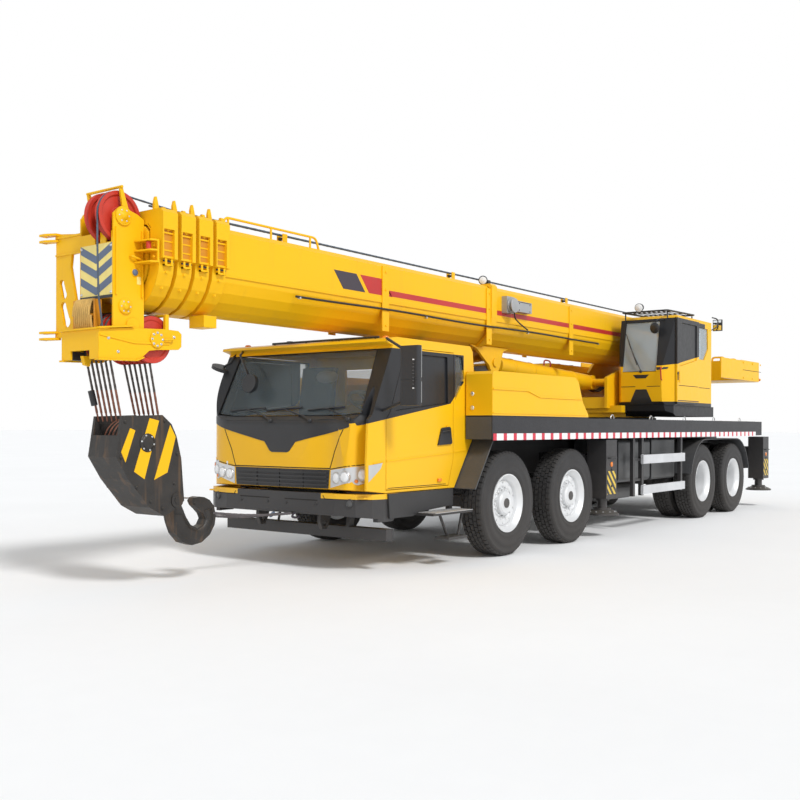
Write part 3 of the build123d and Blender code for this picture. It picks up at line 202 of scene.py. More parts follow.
black = make("black_trim", (0.022, 0.023, 0.026), 0.46, var=0.16, scale=3.0, grime=0.10, dust=0.12, bump=0.12, bscale=320)
chassis_m = make("chassis_black", (0.026, 0.026, 0.029), 0.5, var=0.22, scale=2.2, grime=0.22, dust=0.25, bump=0.2, bscale=70, soft=0.005)
dark_y = make("axle_grey", (0.06, 0.06, 0.065), 0.55, metal=0.2, var=0.25, scale=4.0, grime=0.35, dust=0.3, bump=0.3, bscale=60)
deck_m = make("deck_plate", (0.085, 0.087, 0.092), 0.5, metal=0.35, var=0.2, scale=3.0, dust=0.12, grime=0.05, bump=0.7, bscale=85, soft=0.004,
              masks=((test_box(y0=1.376, z0=0.66, absy=True), (0.030, 0.030, 0.034)),))
rubber = make("tyre_rubber", (0.026, 0.026, 0.028), 0.74, var=0.22, scale=5.0, grime=0.14, dust=0.08, bump=0.35, bscale=160)
rim = make("wheel_silver", (0.74, 0.75, 0.76), 0.40, metal=0.30, var=0.10, scale=5.0, grime=0.08, dust=0.1, bump=0.12, bscale=130, soft=0.003)
glass = make("dark_glass", (0.15, 0.19, 0.21), 0.03, var=0.06, scale=1.0, alpha=0.26, spec=1.0)
glass_op = make("dark_glass_rear", (0.46, 0.54, 0.58), 0.03, var=0.06, scale=1.0, alpha=0.46, spec=1.0)
trim = make("cab_trim", (0.06, 0.06, 0.066), 0.75, var=0.2, scale=6.0, bump=0.3, bscale=400, dust=0.1)
light_cloth = make("head_cloth", (0.55, 0.53, 0.48), 0.85, var=0.15, scale=9.0, bump=0.4, bscale=500)
tank_m = make("tank_grey", (0.085, 0.09, 0.095), 0.4, metal=0.35, var=0.16, scale=3.0, grime=0.25, dust=0.25, bump=0.12, bscale=90, soft=0.004)
engine_m = make("engine_grey", (0.13, 0.135, 0.14), 0.5, metal=0.4, var=0.3, scale=6.0, grime=0.7, bump=0.4, bscale=40)
alu = make("rail_aluminium", (0.66, 0.67, 0.68), 0.34, metal=0.8, var=0.12, scale=6.0, grime=0.3, dust=0.1, bump=0.1, bscale=200)
jack_m = make("jack_grey", (0.050, 0.050, 0.054), 0.42, metal=0.3, var=0.15, scale=2.0, grime=0.2, dust=0.2, bump=0.1, bscale=160, soft=0.004)
chrome = make("rod_chrome", (0.74, 0.75, 0.76), 0.14, metal=1.0, var=0.05, scale=4.0, bump=0.04, bscale=300)
redm = make("sheave_red", (0.52, 0.035, 0.018), 0.42, var=0.2, scale=6.0, grime=0.0, dust=0.2, bump=0.15, bscale=120, soft=0.003)
hookblk = make("hook_black", (0.035, 0.032, 0.030), 0.48, metal=0.3, var=0.3, scale=7.0, dust=0.3, bump=0.25, bscale=90, streak=0.35)
pale = make("pale_yellow", (0.86, 0.70, 0.22), 0.45, var=0.06, scale=3.0, streak=0.05)
slate = make("slate_stripe", (0.10, 0.14, 0.22), 0.45, var=0.12, scale=5.0)
white = make("white_reflex", (0.80, 0.80, 0.80), 0.4, var=0.06, scale=9.0, grime=0.05, bump=0.1, bscale=500)
red_r = make("red_reflex", (0.60, 0.02, 0.05), 0.35, var=0.1, scale=9.0, grime=0.05, bump=0.1, bscale=500)
redst = make("red_stripe", (0.48, 0.02, 0.018), 0.38, var=0.1, scale=2.0, streak=0.08)
navy = make("dark_stripe", (0.045, 0.035, 0.05), 0.4, var=0.15, scale=2.0)
wire = make("wire_rope", (0.085, 0.075, 0.068), 0.5, metal=0.55, var=0.3, scale=14.0, bump=0.5, bscale=300)
wire_r = make("wire_rope_brown", (0.20, 0.075, 0.045), 0.55, metal=0.35, var=0.4, scale=14.0, bump=0.5, bscale=300)
beige = make("rope_beige", (0.58, 0.36, 0.10), 0.75, var=0.25, scale=14.0, bump=0.6, bscale=260)
blue_rope = make("rope_blue_grey", (0.085, 0.11, 0.15), 0.6, metal=0.3, var=0.25, scale=12.0, bump=0.5, bscale=260)
sling_m = make("sling_cloth", (0.10, 0.09, 0.095), 0.85, var=0.3, scale=20.0, bump=0.6, bscale=500)
hose = make("hose_rubber", (0.020, 0.020, 0.022), 0.55, var=0.2, scale=12.0, bump=0.3, bscale=300, dust=0.2)
lens_w = make("lamp_clear", (0.80, 0.82, 0.84), 0.08, var=0.08, scale=16.0, coat=0.8)
lens_a = make("lamp_amber", (0.85, 0.22, 0.01), 0.12, var=0.1, scale=16.0, coat=0.7)
lens_r = make("lamp_red", (0.55, 0.01, 0.01), 0.12, var=0.1, scale=16.0, coat=0.7)
mirror_m = make("mirror_face", (0.75, 0.78, 0.80), 0.03, metal=1.0, var=0.04, scale=2.0)
gap_m = make("seam_dark", (0.012, 0.010, 0.008), 0.8, var=0.2, scale=6.0)
box_grey = make("box_grey", (0.36, 0.37, 0.38), 0.42, metal=0.2, var=0.1, scale=5.0, dust=0.15, bump=0.08, bscale=200)
haz_y = make("hazard_yellow", (0.80, 0.55, 0.03), 0.4, var=0.08, scale=6.0, grime=0.4)
blue_cap = make("cap_blue", (0.02, 0.08, 0.30), 0.4, var=0.1, scale=8.0)

slots = {"body_yellow": yellow, "chassis_black": chassis_m, "engine_grey": engine_m, "deck_plate": deck_m, "wheel_silver": rim, "tyre": rubber,
         "glass": glass, "cab_trim": trim, "tank_grey": tank_m, "rail_aluminium": alu, "jack_grey": jack_m, "rod_chrome": chrome, "sheave_red": redm, "hook_black": hookblk}
node_mat = {"driver_cab": cab_mat, "cab_door_left": cab_mat, "cab_door_right": cab_mat, "front_bumper": bumper_mat, "driver_cab_glass": glass, "operator_cab_glass": glass_op,
            "cab_interior": trim, "operator_seat": trim, "cab_mirrors": black, "axles": dark_y, "engine": engine_m, "chassis_frame": chassis_m, "deck": deck_m,
            "tanks": tank_m, "side_guards": alu, "lift_rod": chrome, "head_sheaves": redm, "hook_block": hookblk, "hook": hookblk, "limit_weight": black}
OCM = make("operator_cab_paint", YEL, 0.36, var=0.03, scale=1.2, dust=0.10, bump=0.03, bscale=240, coat=0.05, soft=0.006, spec=0.26,
           masks=((test_box(z1=1.69), DARK), (test_line(1.442, -0.172, 2.862, (-5.67, 0.0, 0.0)), DARK)))
node_mat["operator_cab"] = OCM; node_mat["operator_door"] = OCM
LKM = make("locker_paint", YEL, 0.38, var=0.03, scale=0.9, dust=0.14, bump=0.04, bscale=240, soft=0.006, spec=0.24,
           masks=((test_box(z1=1.444), DARK),))
node_mat["side_lockers"] = LKM
node_mat["turntable"] = make("table_paint", YEL, 0.40, var=0.04, scale=0.9, dust=0.14, bump=0.05, bscale=240, soft=0.006, streak=0.04, spec=0.22,
                             masks=((test_box(x0=-6.30, x1=-4.36, y0=0.56, z0=1.484, z1=1.645), DARK),))
SGM = make("guard_paint", (0.035, 0.035, 0.038), 0.42, metal=0.3, var=0.2, scale=3.0, grime=0.15, dust=0.2, bump=0.2, bscale=90, soft=0.003,
           masks=((test_box(x0=-4.70, x1=-3.235, y0=1.334, z0=0.46, z1=0.585, absy=True), (0.62, 0.63, 0.65)), (test_box(x0=-4.70, x1=-3.235, y0=1.334, z0=0.855, z1=0.98, absy=True), (0.62, 0.63, 0.65))))
node_mat["side_guards"] = SGM
for nm in NODES:
    ob = NODES[nm]
    if ob.type != 'MESH':
        continue
    if nm in node_mat:
        m = node_mat[nm]
    elif nm.startswith("tyre"):
        m = rubber
    elif nm.startswith("wheel"):
        m = rim
    elif nm.startswith("knuckle"):
        m = dark_y
    elif nm.startswith("outrigger_jack"):
        m = jack_m
    elif nm.startswith("outrigger_beam"):
        m = chassis_m
    else:
        m = yellow
    ob.data.materials.clear(); ob.data.materials.append(m)


# ------------------------------------------------------------------ geometry
class G:
    def __init__(s):
        s.v = []; s.f = []; s.mi = []; s.sm = []; s.cm = 0

    def m(s, i):
        s.cm = i
        return s

    def add(s, vs, fs, smooth=False):
        o = len(s.v); s.v += [tuple(v) for v in vs]
        for f in fs:
            s.f.append([o + i for i in f]); s.mi.append(s.cm); s.sm.append(smooth)
        return s

    def box(s, x0, x1, y0, y1, z0, z1):
        if x0 > x1: x0, x1 = x1, x0
        if y0 > y1: y0, y1 = y1, y0
        if z0 > z1: z0, z1 = z1, z0
        vs = [(x, y, z) for x in (x0, x1) for y in (y0, y1) for z in (z0, z1)]
        return s.add(vs, [(0, 1, 3, 2), (4, 6, 7, 5), (0, 4, 5, 1), (2, 3, 7, 6), (0, 2, 6, 4), (1, 5, 7, 3)])

    def prism(s, pts, axis, a, b):
        """pts go round in the plane across the axis: x,z for y; y,z for x; x,y for z"""
        def P(p, h):
            return {'x': (h, p[0], p[1]), 'y': (p[0], h, p[1]), 'z': (p[0], p[1], h)}[axis]
        n = len(pts); ar = sum(pts[i][0] * pts[(i + 1) % n][1] - pts[(i + 1) % n][0] * pts[i][1] for i in range(n))
        vs = [P(p, a) for p in pts] + [P(p, b) for p in pts]
        fs = [tuple(range(n)), tuple(range(2 * n - 1, n - 1, -1))] + [(i, n + i, n + (i + 1) % n, (i + 1) % n) for i in range(n)]
        flip = (ar > 0) == (b > a)
        if axis == 'y':
            flip = not flip
        if not flip:
            fs = [tuple(reversed(f)) for f in fs]
        return s.add(vs, fs)

    def tube(s, pts, r, n=10, caps=True, rs=None, lobes=0, lay=0.1, depth=0.12):
        pts = [Vector(p) for p in pts]; k = len(pts)
        t = [(pts[min(i + 1, k - 1)] - pts[max(i - 1, 0)]).normalized() for i in range(k)]
        u = t[0].orthogonal().normalized(); vs = []; run = 0.0
        for i in range(k):
            if i:
                run += (pts[i] - pts[i - 1]).length
                u = (u - t[i] * u.dot(t[i])).normalized()
            w = t[i].cross(u); rr = rs[i] if rs else r
            for j in range(n):
                a = 2 * pi * j / n
                q = rr * (1 - depth * 0.5 + depth * 0.5 * cos(lobes * a - 2 * pi * run / lay)) if lobes else rr
                vs.append(pts[i] + (u * cos(a) + w * sin(a)) * q)
        fs = [(i * n + j, i * n + (j + 1) % n, (i + 1) * n + (j + 1) % n, (i + 1) * n + j) for i in range(k - 1) for j in range(n)]
        s.add(vs, fs, True)
        if caps:
            s.add([vs[j] for j in range(n)], [tuple(reversed(range(n)))]); s.add(vs[-n:], [tuple(range(n))])
        return s

    def rope(s, a, b, r, step=0.02, lay=0.11):
        a, b = Vector(a), Vector(b); k = max(2, int((b - a).length / step))
        return s.tube([a.lerp(b, i / k) for i in range(k + 1)], r, 12, True, None, 6, lay, 0.22)

    def ropeline(s, pts, r, step=0.02, lay=0.11):
        out = []
        for p, q in zip(pts[:-1], pts[1:]):
            p, q = Vector(p), Vector(q); k = max(1, int((q - p).length / step))
            out += [p.lerp(q, i / k) for i in range(k)]
        out.append(Vector(pts[-1]))
        return s.tube(out, r, 12, True, None, 6, lay, 0.22)

    def lathe(s, prof, c, ax, n=32, smooth=True, caps=True):
        """prof holds (radius, height along the axis) points from c"""
        c = Vector(c); ax = Vector(ax).normalized(); u = ax.orthogonal().normalized(); w = ax.cross(u); vs = []; fs = []
        k = len(prof)
        for r, h in prof:
            for j in range(n):
                a = 2 * pi * j / n
                vs.append(c + ax * h + (u * cos(a) + w * sin(a)) * r)
        for i in range(k - 1):
            for j in range(n):
                fs.append((i * n + j, i * n + (j + 1) % n, (i + 1) * n + (j + 1) % n, (i + 1) * n + j))
        s.add(vs, fs, smooth)
        if caps and prof[0][0] > 1e-6:
            s.add(vs[:n], [tuple(reversed(range(n)))])
        if caps and prof[-1][0] > 1e-6:
            s.add(vs[-n:], [tuple(range(n))])
        return s

    def bolt(s, c, ax, r=0.012, h=0.010):
        c = Vector(c); ax = Vector(ax).normalized()
        s.lathe([(r * 1.35, 0), (r * 1.35, h * 0.25), (0.0, h * 0.25)], c, ax, 12)
        return s.lathe([(r, h * 0.25), (r, h * 0.85), (r * 0.8, h), (0.0, h)], c, ax, 6, False)

    def obj(s, name, mats, body, bevel=0.0, seg=2, slot=None, angle=35):
        me = bpy.data.meshes.new(name)
        me.from_pydata([(x + SX, y, z) for x, y, z in s.v], [], s.f)
        for m_ in mats:
            me.materials.append(m_)
        me.polygons.foreach_set("material_index", s.mi); me.polygons.foreach_set("use_smooth", s.sm)
        me.update()
        ob = bpy.data.objects.new(name, me); bpy.context.scene.collection.objects.link(ob)
        if bevel:
            bv = ob.modifiers.new("soft_edges", 'BEVEL'); bv.width = bevel; bv.segments = seg; bv.limit_method = 'ANGLE'; bv.angle_limit = math.radians(40)
        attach(ob, body)
        return ob


BVH = {}


def bvh(names):
    key = tuple(names)
    if key not in BVH:
        vs, fs = [], []
        for n in names:
            me = NODES[n].data; o = len(vs)
            vs += [v.co.copy() for v in me.vertices]; fs += [[o + i for i in p.vertices] for p in me.polygons]
        BVH[key] = BVHTree.FromPolygons(vs, fs)
    return BVH[key]


def hit(names, axis, a, b, sign=1, far=4.0):
    """looks along -axis*sign at the CAD surface; a, b are the two other coordinates"""
    d = 9.0
    o = {'x': (SX + d * sign, a, b), 'y': (SX + a, d * sign, b), 'z': (SX + a, b, d)}[axis]
    dr = {'x': (-sign, 0, 0), 'y': (0, -sign, 0), 'z': (0, 0, -1)}[axis]
    loc, nor, _, _ = bvh(names).ray_cast(Vector(o), Vector(dr), 20.0)
    if loc is None:
        return None, None
    if nor.dot(Vector(dr)) > 0:
        nor = -nor
    return Vector((loc.x - SX, loc.y, loc.z)), nor


def lay(g, poly, axis, names, off=0.002, step=0.05, sign=1, back=0.004, near=None):
    """a plate laid on the CAD surface, cut to the outline poly"""
    pts = []
    for (p, q) in zip(poly, poly[1:] + poly[:1]):
        L = math.hypot(q[0] - p[0], q[1] - p[1]); k = max(1, int(L / step))
        pts += [(p[0] + (q[0] - p[0]) * i / k, p[1] + (q[1] - p[1]) * i / k) for i in range(k)]
    n = len(pts); inner = []
    x0, x1 = min(p[0] for p in pts), max(p[0] for p in pts); y0, y1 = min(p[1] for p in pts), max(p[1] for p in pts)
    i = 1
    while x0 + i * step < x1:
        j = 1
        while y0 + j * step < y1:
            inner.append((x0 + i * step, y0 + j * step)); j += 1
        i += 1
    vs2, _, fs, _, _, _ = delaunay_2d_cdt([Vector(p) for p in pts + inner], [], [list(range(n))], 1, 1e-5)
    front = []; ok = []
    for p in vs2:
        h, nr = hit(names, axis, p.x, p.y, sign)
        if h is None or (near is not None and abs({'x': h.x, 'y': h.y, 'z': h.z}[axis] - near) > 0.25):
            front.append(None); ok.append(None)
        else:
            front.append(h + nr * off); ok.append(h - nr * back)
    good = [f for f in fs if all(front[i] is not None for i in f)]
    used = sorted({i for f in good for i in f}); ix = {v: k for k, v in enumerate(used)}
    if not good:
        return g
    ref = {'x': Vector((sign, 0, 0)), 'y': Vector((0, sign, 0)), 'z': Vector((0, 0, 1))}[axis]
    F = []; edges = {}
    for f in good:
        a, b, c = (front[i] for i in f[:3])
        if (b - a).cross(c - a).dot(ref) < 0:
            f = list(reversed(f))
        F.append([ix[i] for i in f])
        for p, q in zip(f, f[1:] + f[:1]):
            edges[(p, q)] = edges.get((p, q), 0) + 1
    g.add([front[i] for i in used], F, True)
    wall = []; vs = []
    for (p, q) in edges:
        if (q, p) not in edges:
            o = len(vs); vs += [front[p], front[q], ok[q], ok[p]]; wall.append((o + 1, o, o + 3, o + 2))
    g.add(vs, wall)
    return g


def strip(g, line, w, axis, names, off=0.002, step=0.03, sign=1, near=None, back=0.003):
    """a narrow band along line, laid on the CAD surface"""
    for p, q in zip(line[:-1], line[1:]):
        L = math.hypot(q[0] - p[0], q[1] - p[1]); nx, ny = -(q[1] - p[1]) / L * w / 2, (q[0] - p[0]) / L * w / 2
        lay(g, [(p[0] + nx, p[1] + ny), (p[0] - nx, p[1] - ny), (q[0] - nx, q[1] - ny), (q[0] + nx, q[1] + ny)], axis, names, off, step, sign, back, near)
    return g


def disc(g, c, ax, r, h=0.01, n=24, dome=0.0):
    prof = [(r, -0.003), (r, h * 0.7), (r * 0.93, h)] + ([(r * 0.6, h + dome * 0.7), (r * 0.3, h + dome * 0.93)] if dome else []) + [(0.0, h + dome)]
    return g.lathe(prof, c, ax, n)


def bent(pts, r, n=6):
    """rounds the corners of a path"""
    pts = [Vector(p) for p in pts]; out = [pts[0]]
    for a, b, c in zip(pts[:-2], pts[1:-1], pts[2:]):
        d1 = min(r, (b - a).length * 0.48); d2 = min(r, (c - b).length * 0.48)
        p, q = b + (a - b).normalized() * d1, b + (c - b).normalized() * d2
        for i in range(n + 1):
            t = i / n; out.append(p * (1 - t) ** 2 + b * 2 * t * (1 - t) + q * t * t)
    out.append(pts[-1])
    return out


# ------------------------------------------------------------------ tyres with tread
R = 0.5425


def tyre(name, y0, y1, side, cx, body, twin):
    g = G(); w = y1 - y0; c = (y0 + y1) / 2; gr = R - 0.016
    half = w / 2
    prof = [(0.305, -half + 0.028), (0.330, -half + 0.010), (0.350, -half + 0.006), (0.356, -half + 0.010), (0.400, -half + 0.001), (0.448, -half + 0.002), (0.452, -half + 0.006), (0.492, -half + 0.012),
            (0.500, -half + 0.010), (gr - 0.012, -half + 0.020), (gr, -half + 0.036)]
    prof = prof + [(r, -h) for r, h in reversed(prof)]
    g.lathe([(r, h) for r, h in prof], (cx, c, 0.5425), (0, 1, 0), 72, True, False)
    g.lathe([(0.305, half - 0.028), (0.300, 0.0), (0.305, -half + 0.028)], (cx, c, 0.5425), (0, 1, 0), 48, True, False)
    ribs = 5; usable = w - 0.062; rw = usable / ribs; nb = 54
    for i in range(ribs):
        h0 = -usable / 2 + i * rw + 0.0045; h1 = h0 + rw - 0.009
        edge = i in (0, ribs - 1)
        for k in range(nb):
            a0 = 2 * pi * (k + (0.5 if i % 2 else 0.0)) / nb; a1 = a0 + 2 * pi / nb * (0.80 if edge else 0.86); sk = 0.012 * (1 if i % 2 else -1)
            vs = []
            for a, s_ in ((a0, 0), (a1, 0)):
                for h in (h0, h1):
                    aa = a + sk * (h - h0) / rw
                    for rr in (gr - 0.010, R - (0.006 if (edge and ((i == 0 and h == h0) or (i and h == h1))) else 0.0)):
                        vs.append((cx + rr * cos(aa), c + h, 0.5425 + rr * sin(aa)))
            g.add(vs, [(0, 1, 3, 2), (4, 6, 7, 5), (0, 4, 5, 1), (2, 3, 7, 6), (1, 5, 7, 3)])
    for k in range(nb):     # shoulder bars on the side wall
        a = 2 * pi * k / nb
        for s_ in (-1, 1):
            h = s_ * (half - 0.012)
            vs = []
            for da in (-0.016, 0.016):
                for rr, hh in ((0.505, h * 1.0), (gr - 0.002, h - s_ * 0.016), (gr - 0.002, h - s_ * 0.030), (0.505, h - s_ * 0.018)):
                    vs.append((cx + rr * cos(a + da), c + hh, 0.5425 + rr * sin(a + da)))
            g.add(vs, [(0, 1, 2, 3), (7, 6, 5, 4), (0, 4, 5, 1), (1, 5, 6, 2), (2, 6, 7, 3), (3, 7, 4, 0)])
    return g


AX = {"1": 0.0, "2": -1.440, "3": 0.0, "4": 0.0}
for nm, body in (("1l", "wheel_front_left"), ("1r", "wheel_front_right"), ("2l", "wheel_second_left"), ("2r", "wheel_second_right"),
                 ("3l", "wheel_third_left"), ("3r", "wheel_third_right"), ("4l", "wheel_rear_left"), ("4r", "wheel_rear_right")):
    lo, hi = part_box("tyre_" + nm)
    cx = (lo.x + hi.x) / 2 - SX
    if nm[0] in "12":
        g = tyre(nm, lo.y, hi.y, 1, cx, body, False)
    else:
        w = 0.282; g = tyre(nm, lo.y, lo.y + w, 1, cx, body, True); h = tyre(nm, hi.y - w, hi.y, 1, cx, body, True)
        o = len(g.v); g.v += h.v; g.f += [[o + i for i in f] for f in h.f]; g.mi += h.mi; g.sm += h.sm
    ob = g.obj("tread_" + nm, [rubber], body, slot="tyre"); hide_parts("tyre_" + nm)
    # hub bolts and cap on the outer side
    s_ = 1 if nm[1] == "l" else -1; y = (hi.y if s_ > 0 else lo.y)
    wl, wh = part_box("wheel_" + nm); yo = wh.y if s_ > 0 else wl.y
    b = G()
    for k in range(10):
        a = 2 * pi * k / 10 + 0.3
        h, nr = hit(("wheel_" + nm,), 'y', cx + 0.145 * cos(a), 0.5425 + 0.145 * sin(a), s_)
        if h is not None:
            b.lathe([(0.017, -0.002), (0.017, 0.006), (0.0, 0.006)], h, (0, s_, 0), 12)
            b.lathe([(0.0135, 0.004), (0.0135, 0.018), (0.009, 0.022), (0.0, 0.022)], h, (0, s_, 0), 6, False)
    h, nr = hit(("wheel_" + nm,), 'y', cx, 0.5425, s_)
    if h is not None:
        yy = min(abs(h.y) + 0.016, 1.372)
        b.lathe([(0.060, 0.0), (0.060, (yy - abs(h.y)) * 0.8), (0.052, yy - abs(h.y)), (0.0, yy - abs(h.y))], h, (0, s_, 0), 24)
    if b.v:
        b.obj("wheel_bolts_" + nm, [rim], body, slot="wheel_silver")

# ------------------------------------------------------------------ driver's cab
CF = ("driver_cab", "front_bumper")
CS = ("driver_cab", "cab_door_left"); CSR = ("driver_cab", "cab_door_right")
g = G()
cowl = [(-1.035, 1.43), (1.035, 1.43), (1.035, 1.375), (0.77, 1.305), (0.2, 1.185), (0.13, 1.10), (0.10, 1.086), (-0.10, 1.086), (-0.13, 1.10), (-0.2, 1.185), (-0.77, 1.305), (-1.035, 1.375)]
lay(g, cowl, 'x', CF, 0.004, 0.06)
g.obj("windscreen_cowl", [black], "chassis")
g = G()
for s_ in (1, -1):
    strip(g, [(s_ * 0.775, 1.302), (s_ * 0.664, 1.107), (s_ * 0.602, 0.946)], 0.009, 'x', CF, 0.0015)
    strip(g, [(s_ * 0.602, 0.94), (s_ * 1.03, 1.0)], 0.008, 'x', CF, 0.0015)
strip(g, [(-0.60, 0.946), (0.60, 0.946)], 0.009, 'x', CF, 0.0015, 0.06)
g.obj("bonnet_seams", [gap_m], "chassis")
# grille with louvres
g = G()
lay(g, [(-0.585, 0.762), (0.585, 0.762), (0.60, 0.934), (-0.60, 0.934)], 'x', CF, 0.003, 0.06)
for z in (0.795, 0.832, 0.869, 0.906):
    strip(g, [(-0.575, z), (0.575, z)], 0.016, 'x', CF, 0.016, 0.06)
for y in (-0.3, 0.0, 0.3):
    strip(g, [(y, 0.768), (y, 0.928)], 0.012, 'x', CF, 0.010)
g.obj("grille", [black], "chassis")
# headlights
g = G()
for s_ in (1, -1):
    g.m(3)
    lay(g, [(s_ * y, z) for y, z in ((0.615, 0.932), (1.045, 0.990), (1.045, 0.880), (0.905, 0.802), (0.840, 0.824), (0.612, 0.770))], 'x', CF, 0.003, 0.04)
    lay(g, [(2.050, 0.985), (1.85, 1.003), (1.880, 0.950), (2.050, 0.835)], 'y', ("driver_cab",), 0.003, 0.04, s_)
    for (y, z, r, mi) in ((0.690, 0.862, 0.048, 1), (0.810, 0.875, 0.048, 1), (0.922, 0.895, 0.046, 1), (0.895, 0.838, 0.018, 2), (1.005, 0.940, 0.026, 2)):
        h, nr = hit(CF, 'x', s_ * y, z)
        if h is not None:
            ax = (nr + Vector((0.6, 0, 0))).normalized()
            g.m(3).lathe([(r * 1.14, -0.01), (r * 1.14, 0.011), (r, 0.013), (r, 0.006), (0.0, 0.006)], h, ax, 24)
            g.m(mi).lathe([(r * 0.99, 0.006), (r * 0.9, 0.013), (r * 0.6, 0.017), (0.0, 0.019)], h, ax, 24)
g.obj("headlights", [black, lens_w, lens_a, alu], "chassis")
# bumper parts
g = G()
for s_ in (1, -1):
    h, nr = hit(CF, 'x', s_ * 0.852, 0.640)
    if h is not None:
        g.m(0).lathe([(0.040, -0.01), (0.040, 0.008), (0.031, 0.011), (0.031, 0.004), (0.0, 0.004)], h, (1, s_ * 0.25, 0), 24)
        g.m(1).lathe([(0.030, 0.004), (0.02, 0.008), (0.0, 0.010)], h, (1, s_ * 0.25, 0), 24)
    g.m(2).box(1.68, 1.735, s_ * 1.062, s_ * 1.078, 0.610, 0.642)
    g.m(2).box(0.93, 0.985, s_ * 1.062, s_ * 1.078, 0.800, 0.828)
    strip(g.m(3), [(s_ * 0.10, 0.655), (s_ * 0.50, 0.655)], 0.010, 'x', CF, 0.0015)
    strip(g.m(3), [(s_ * 0.545, 0.735), (s_ * 0.585, 0.672), (s_ * 1.03, 0.672)], 0.007, 'x', CF, 0.0015)
    for y in (0.12, 0.48):
        h, nr = hit(CF, 'x', s_ * y, 0.62)
        if h is not None:
            g.m(0).bolt(h, (1, 0, 0), 0.011, 0.009)
g.obj("bumper_lamps", [black, tank_m, lens_a, gap_m, lens_r], "chassis")
# sides: crease, recess of the handle, door gap
for s_, nds, tag, db in ((1, CS, "left", "cab_door_left"), (-1, CSR, "right", "cab_door_right")):
    g = G()
    lay(g, [(1.985, 0.995), (1.83, 1.010), (1.83, 1.024), (1.985, 1.008)], 'y', ("driver_cab",), 0.006, 0.04, s_)
    lay(g, [(0.70, 1.072), (0.31, 1.100), (0.31, 1.114), (0.70, 1.086)], 'y', ("driver_cab",), 0.006, 0.05, s_, near=s_ * 1.06)
    g.obj("cab_crease_" + tag, [yellow_p], "chassis")
    g = G()
    lay(g.m(0), [(1.79, 1.010), (0.715, 1.068), (0.715, 1.084), (1.79, 1.026)], 'y', (db,), 0.006, 0.06, s_)
    g.m(1).prism([(0.985, 1.150), (0.925, 1.310), (0.905, 1.320), (0.790, 1.330), (0.770, 1.315), (0.745, 1.175), (0.760, 1.160)], 'y', s_ * 1.050, s_ * 1.0765)
    g.m(1).tube(bent([(0.93, s_ * 1.072, 1.275), (0.915, s_ * 1.092, 1.282), (0.80, s_ * 1.092, 1.292), (0.785, s_ * 1.072, 1.294)], 0.012), 0.008, 8)
    g.m(2).lathe([(0.012, -0.002), (0.012, 0.006), (0.0, 0.006)], (0.765, s_ * 1.064, 1.205), (0, s_, 0), 14)
    lay(g.m(3), [(1.77, 0.768), (0.735, 0.768), (0.735, 0.774), (1.77, 0.774)], 'y', (db,), 0.0015, 0.1, s_)
    g.obj("door_trim_" + tag, [yellow_p, black, alu, gap_m], db)
# wipers
g = G()
CG = ("driver_cab", "driver_cab_glass")


def on_glass(y, z, off):
    h, nr = hit(CG, 'x', y, z)
    return (h + nr * off) if h is not None else Vector((2.0, y, z))


for piv, tip, b0, b1 in (((-0.129, 1.385), (-0.53, 1.490), (-0.77, 1.478), (-0.28, 1.505)), ((0.376, 1.385), (-0.043, 1.490), (-0.27, 1.478), (0.19, 1.505)), ((0.834, 1.390), (0.491, 1.490), (0.27, 1.478), (0.71, 1.503))):
    p = on_glass(*piv, 0.006)
    g.m(0).lathe([(0.020, -0.012), (0.020, 0.010), (0.012, 0.020), (0.0, 0.020)], p, (1, 0, 0.4), 16)
    line = [on_glass(piv[0] + (tip[0] - piv[0]) * i / 8, piv[1] + (tip[1] - piv[1]) * i / 8, 0.020) for i in range(9)]
    g.tube(line, 0.0065, 8)
    line = [on_glass(b0[0] + (b1[0] - b0[0]) * i / 10, b0[1] + (b1[1] - b0[1]) * i / 10, 0.010) for i in range(11)]
    g.tube(line, 0.008, 8)
    line = [on_glass(b0[0] + (b1[0] - b0[0]) * i / 10, b0[1] + (b1[1] - b0[1]) * i / 10, 0.018) for i in range(2, 9)]
    g.tube(line, 0.005, 6)
g.obj("wipers", [black], "chassis")
# rail along the roof's front edge, marker lamps, ring
def on_roof(x, y):
    h, nr = hit(("driver_cab",), 'z', x, y)
    return Vector((x, y, (h.z if h is not None else 2.10) + 0.014))


g = G()
g.m(0).tube([on_roof(1.70, y / 20) for y in range(-9, 19)], 0.011, 8)
for y in (-0.42, 0.0, 0.42, 0.86):
    q = on_roof(1.70, y); g.tube([q, q - Vector((0, 0, 0.03))], 0.008, 8)
for s_ in (1, -1):
    for y in (0.90,):
        h, nr = hit(("driver_cab",), 'z', 1.60, s_ * y)
        if h is not None and h.z < 2.16:
            g.m(1).lathe([(0.034, -0.01), (0.034, 0.008), (0.024, 0.019), (0.0, 0.022)], h, (0, 0, 1), 18)
h, nr = hit(("driver_cab",), 'z', 1.66, -0.25)
if h is not None:
    g.m(0).tube([(h.x + 0.028 * cos(a), h.y + 0.028 * sin(a), h.z + 0.02) for a in [2 * pi * i / 16 for i in range(17)]], 0.006, 8)
g.obj("roof_edge", [black, lens_a], "chassis")
# roof hatch
g = G()
h, nr = hit(("driver_cab",), 'z', 1.0, 0.0)
if h is not None:
    z = h.z
    g.box(0.72, 1.28, -0.30, 0.30, z - 0.004, z + 0.018)
    g.tube([(0.70, -0.32, z + 0.004), (1.30, -0.32, z + 0.004), (1.30, 0.32, z + 0.004), (0.70, 0.32, z + 0.004), (0.70, -0.32, z + 0.004)], 0.007, 8)
g.obj("roof_hatch", [black], "chassis", 0.008)
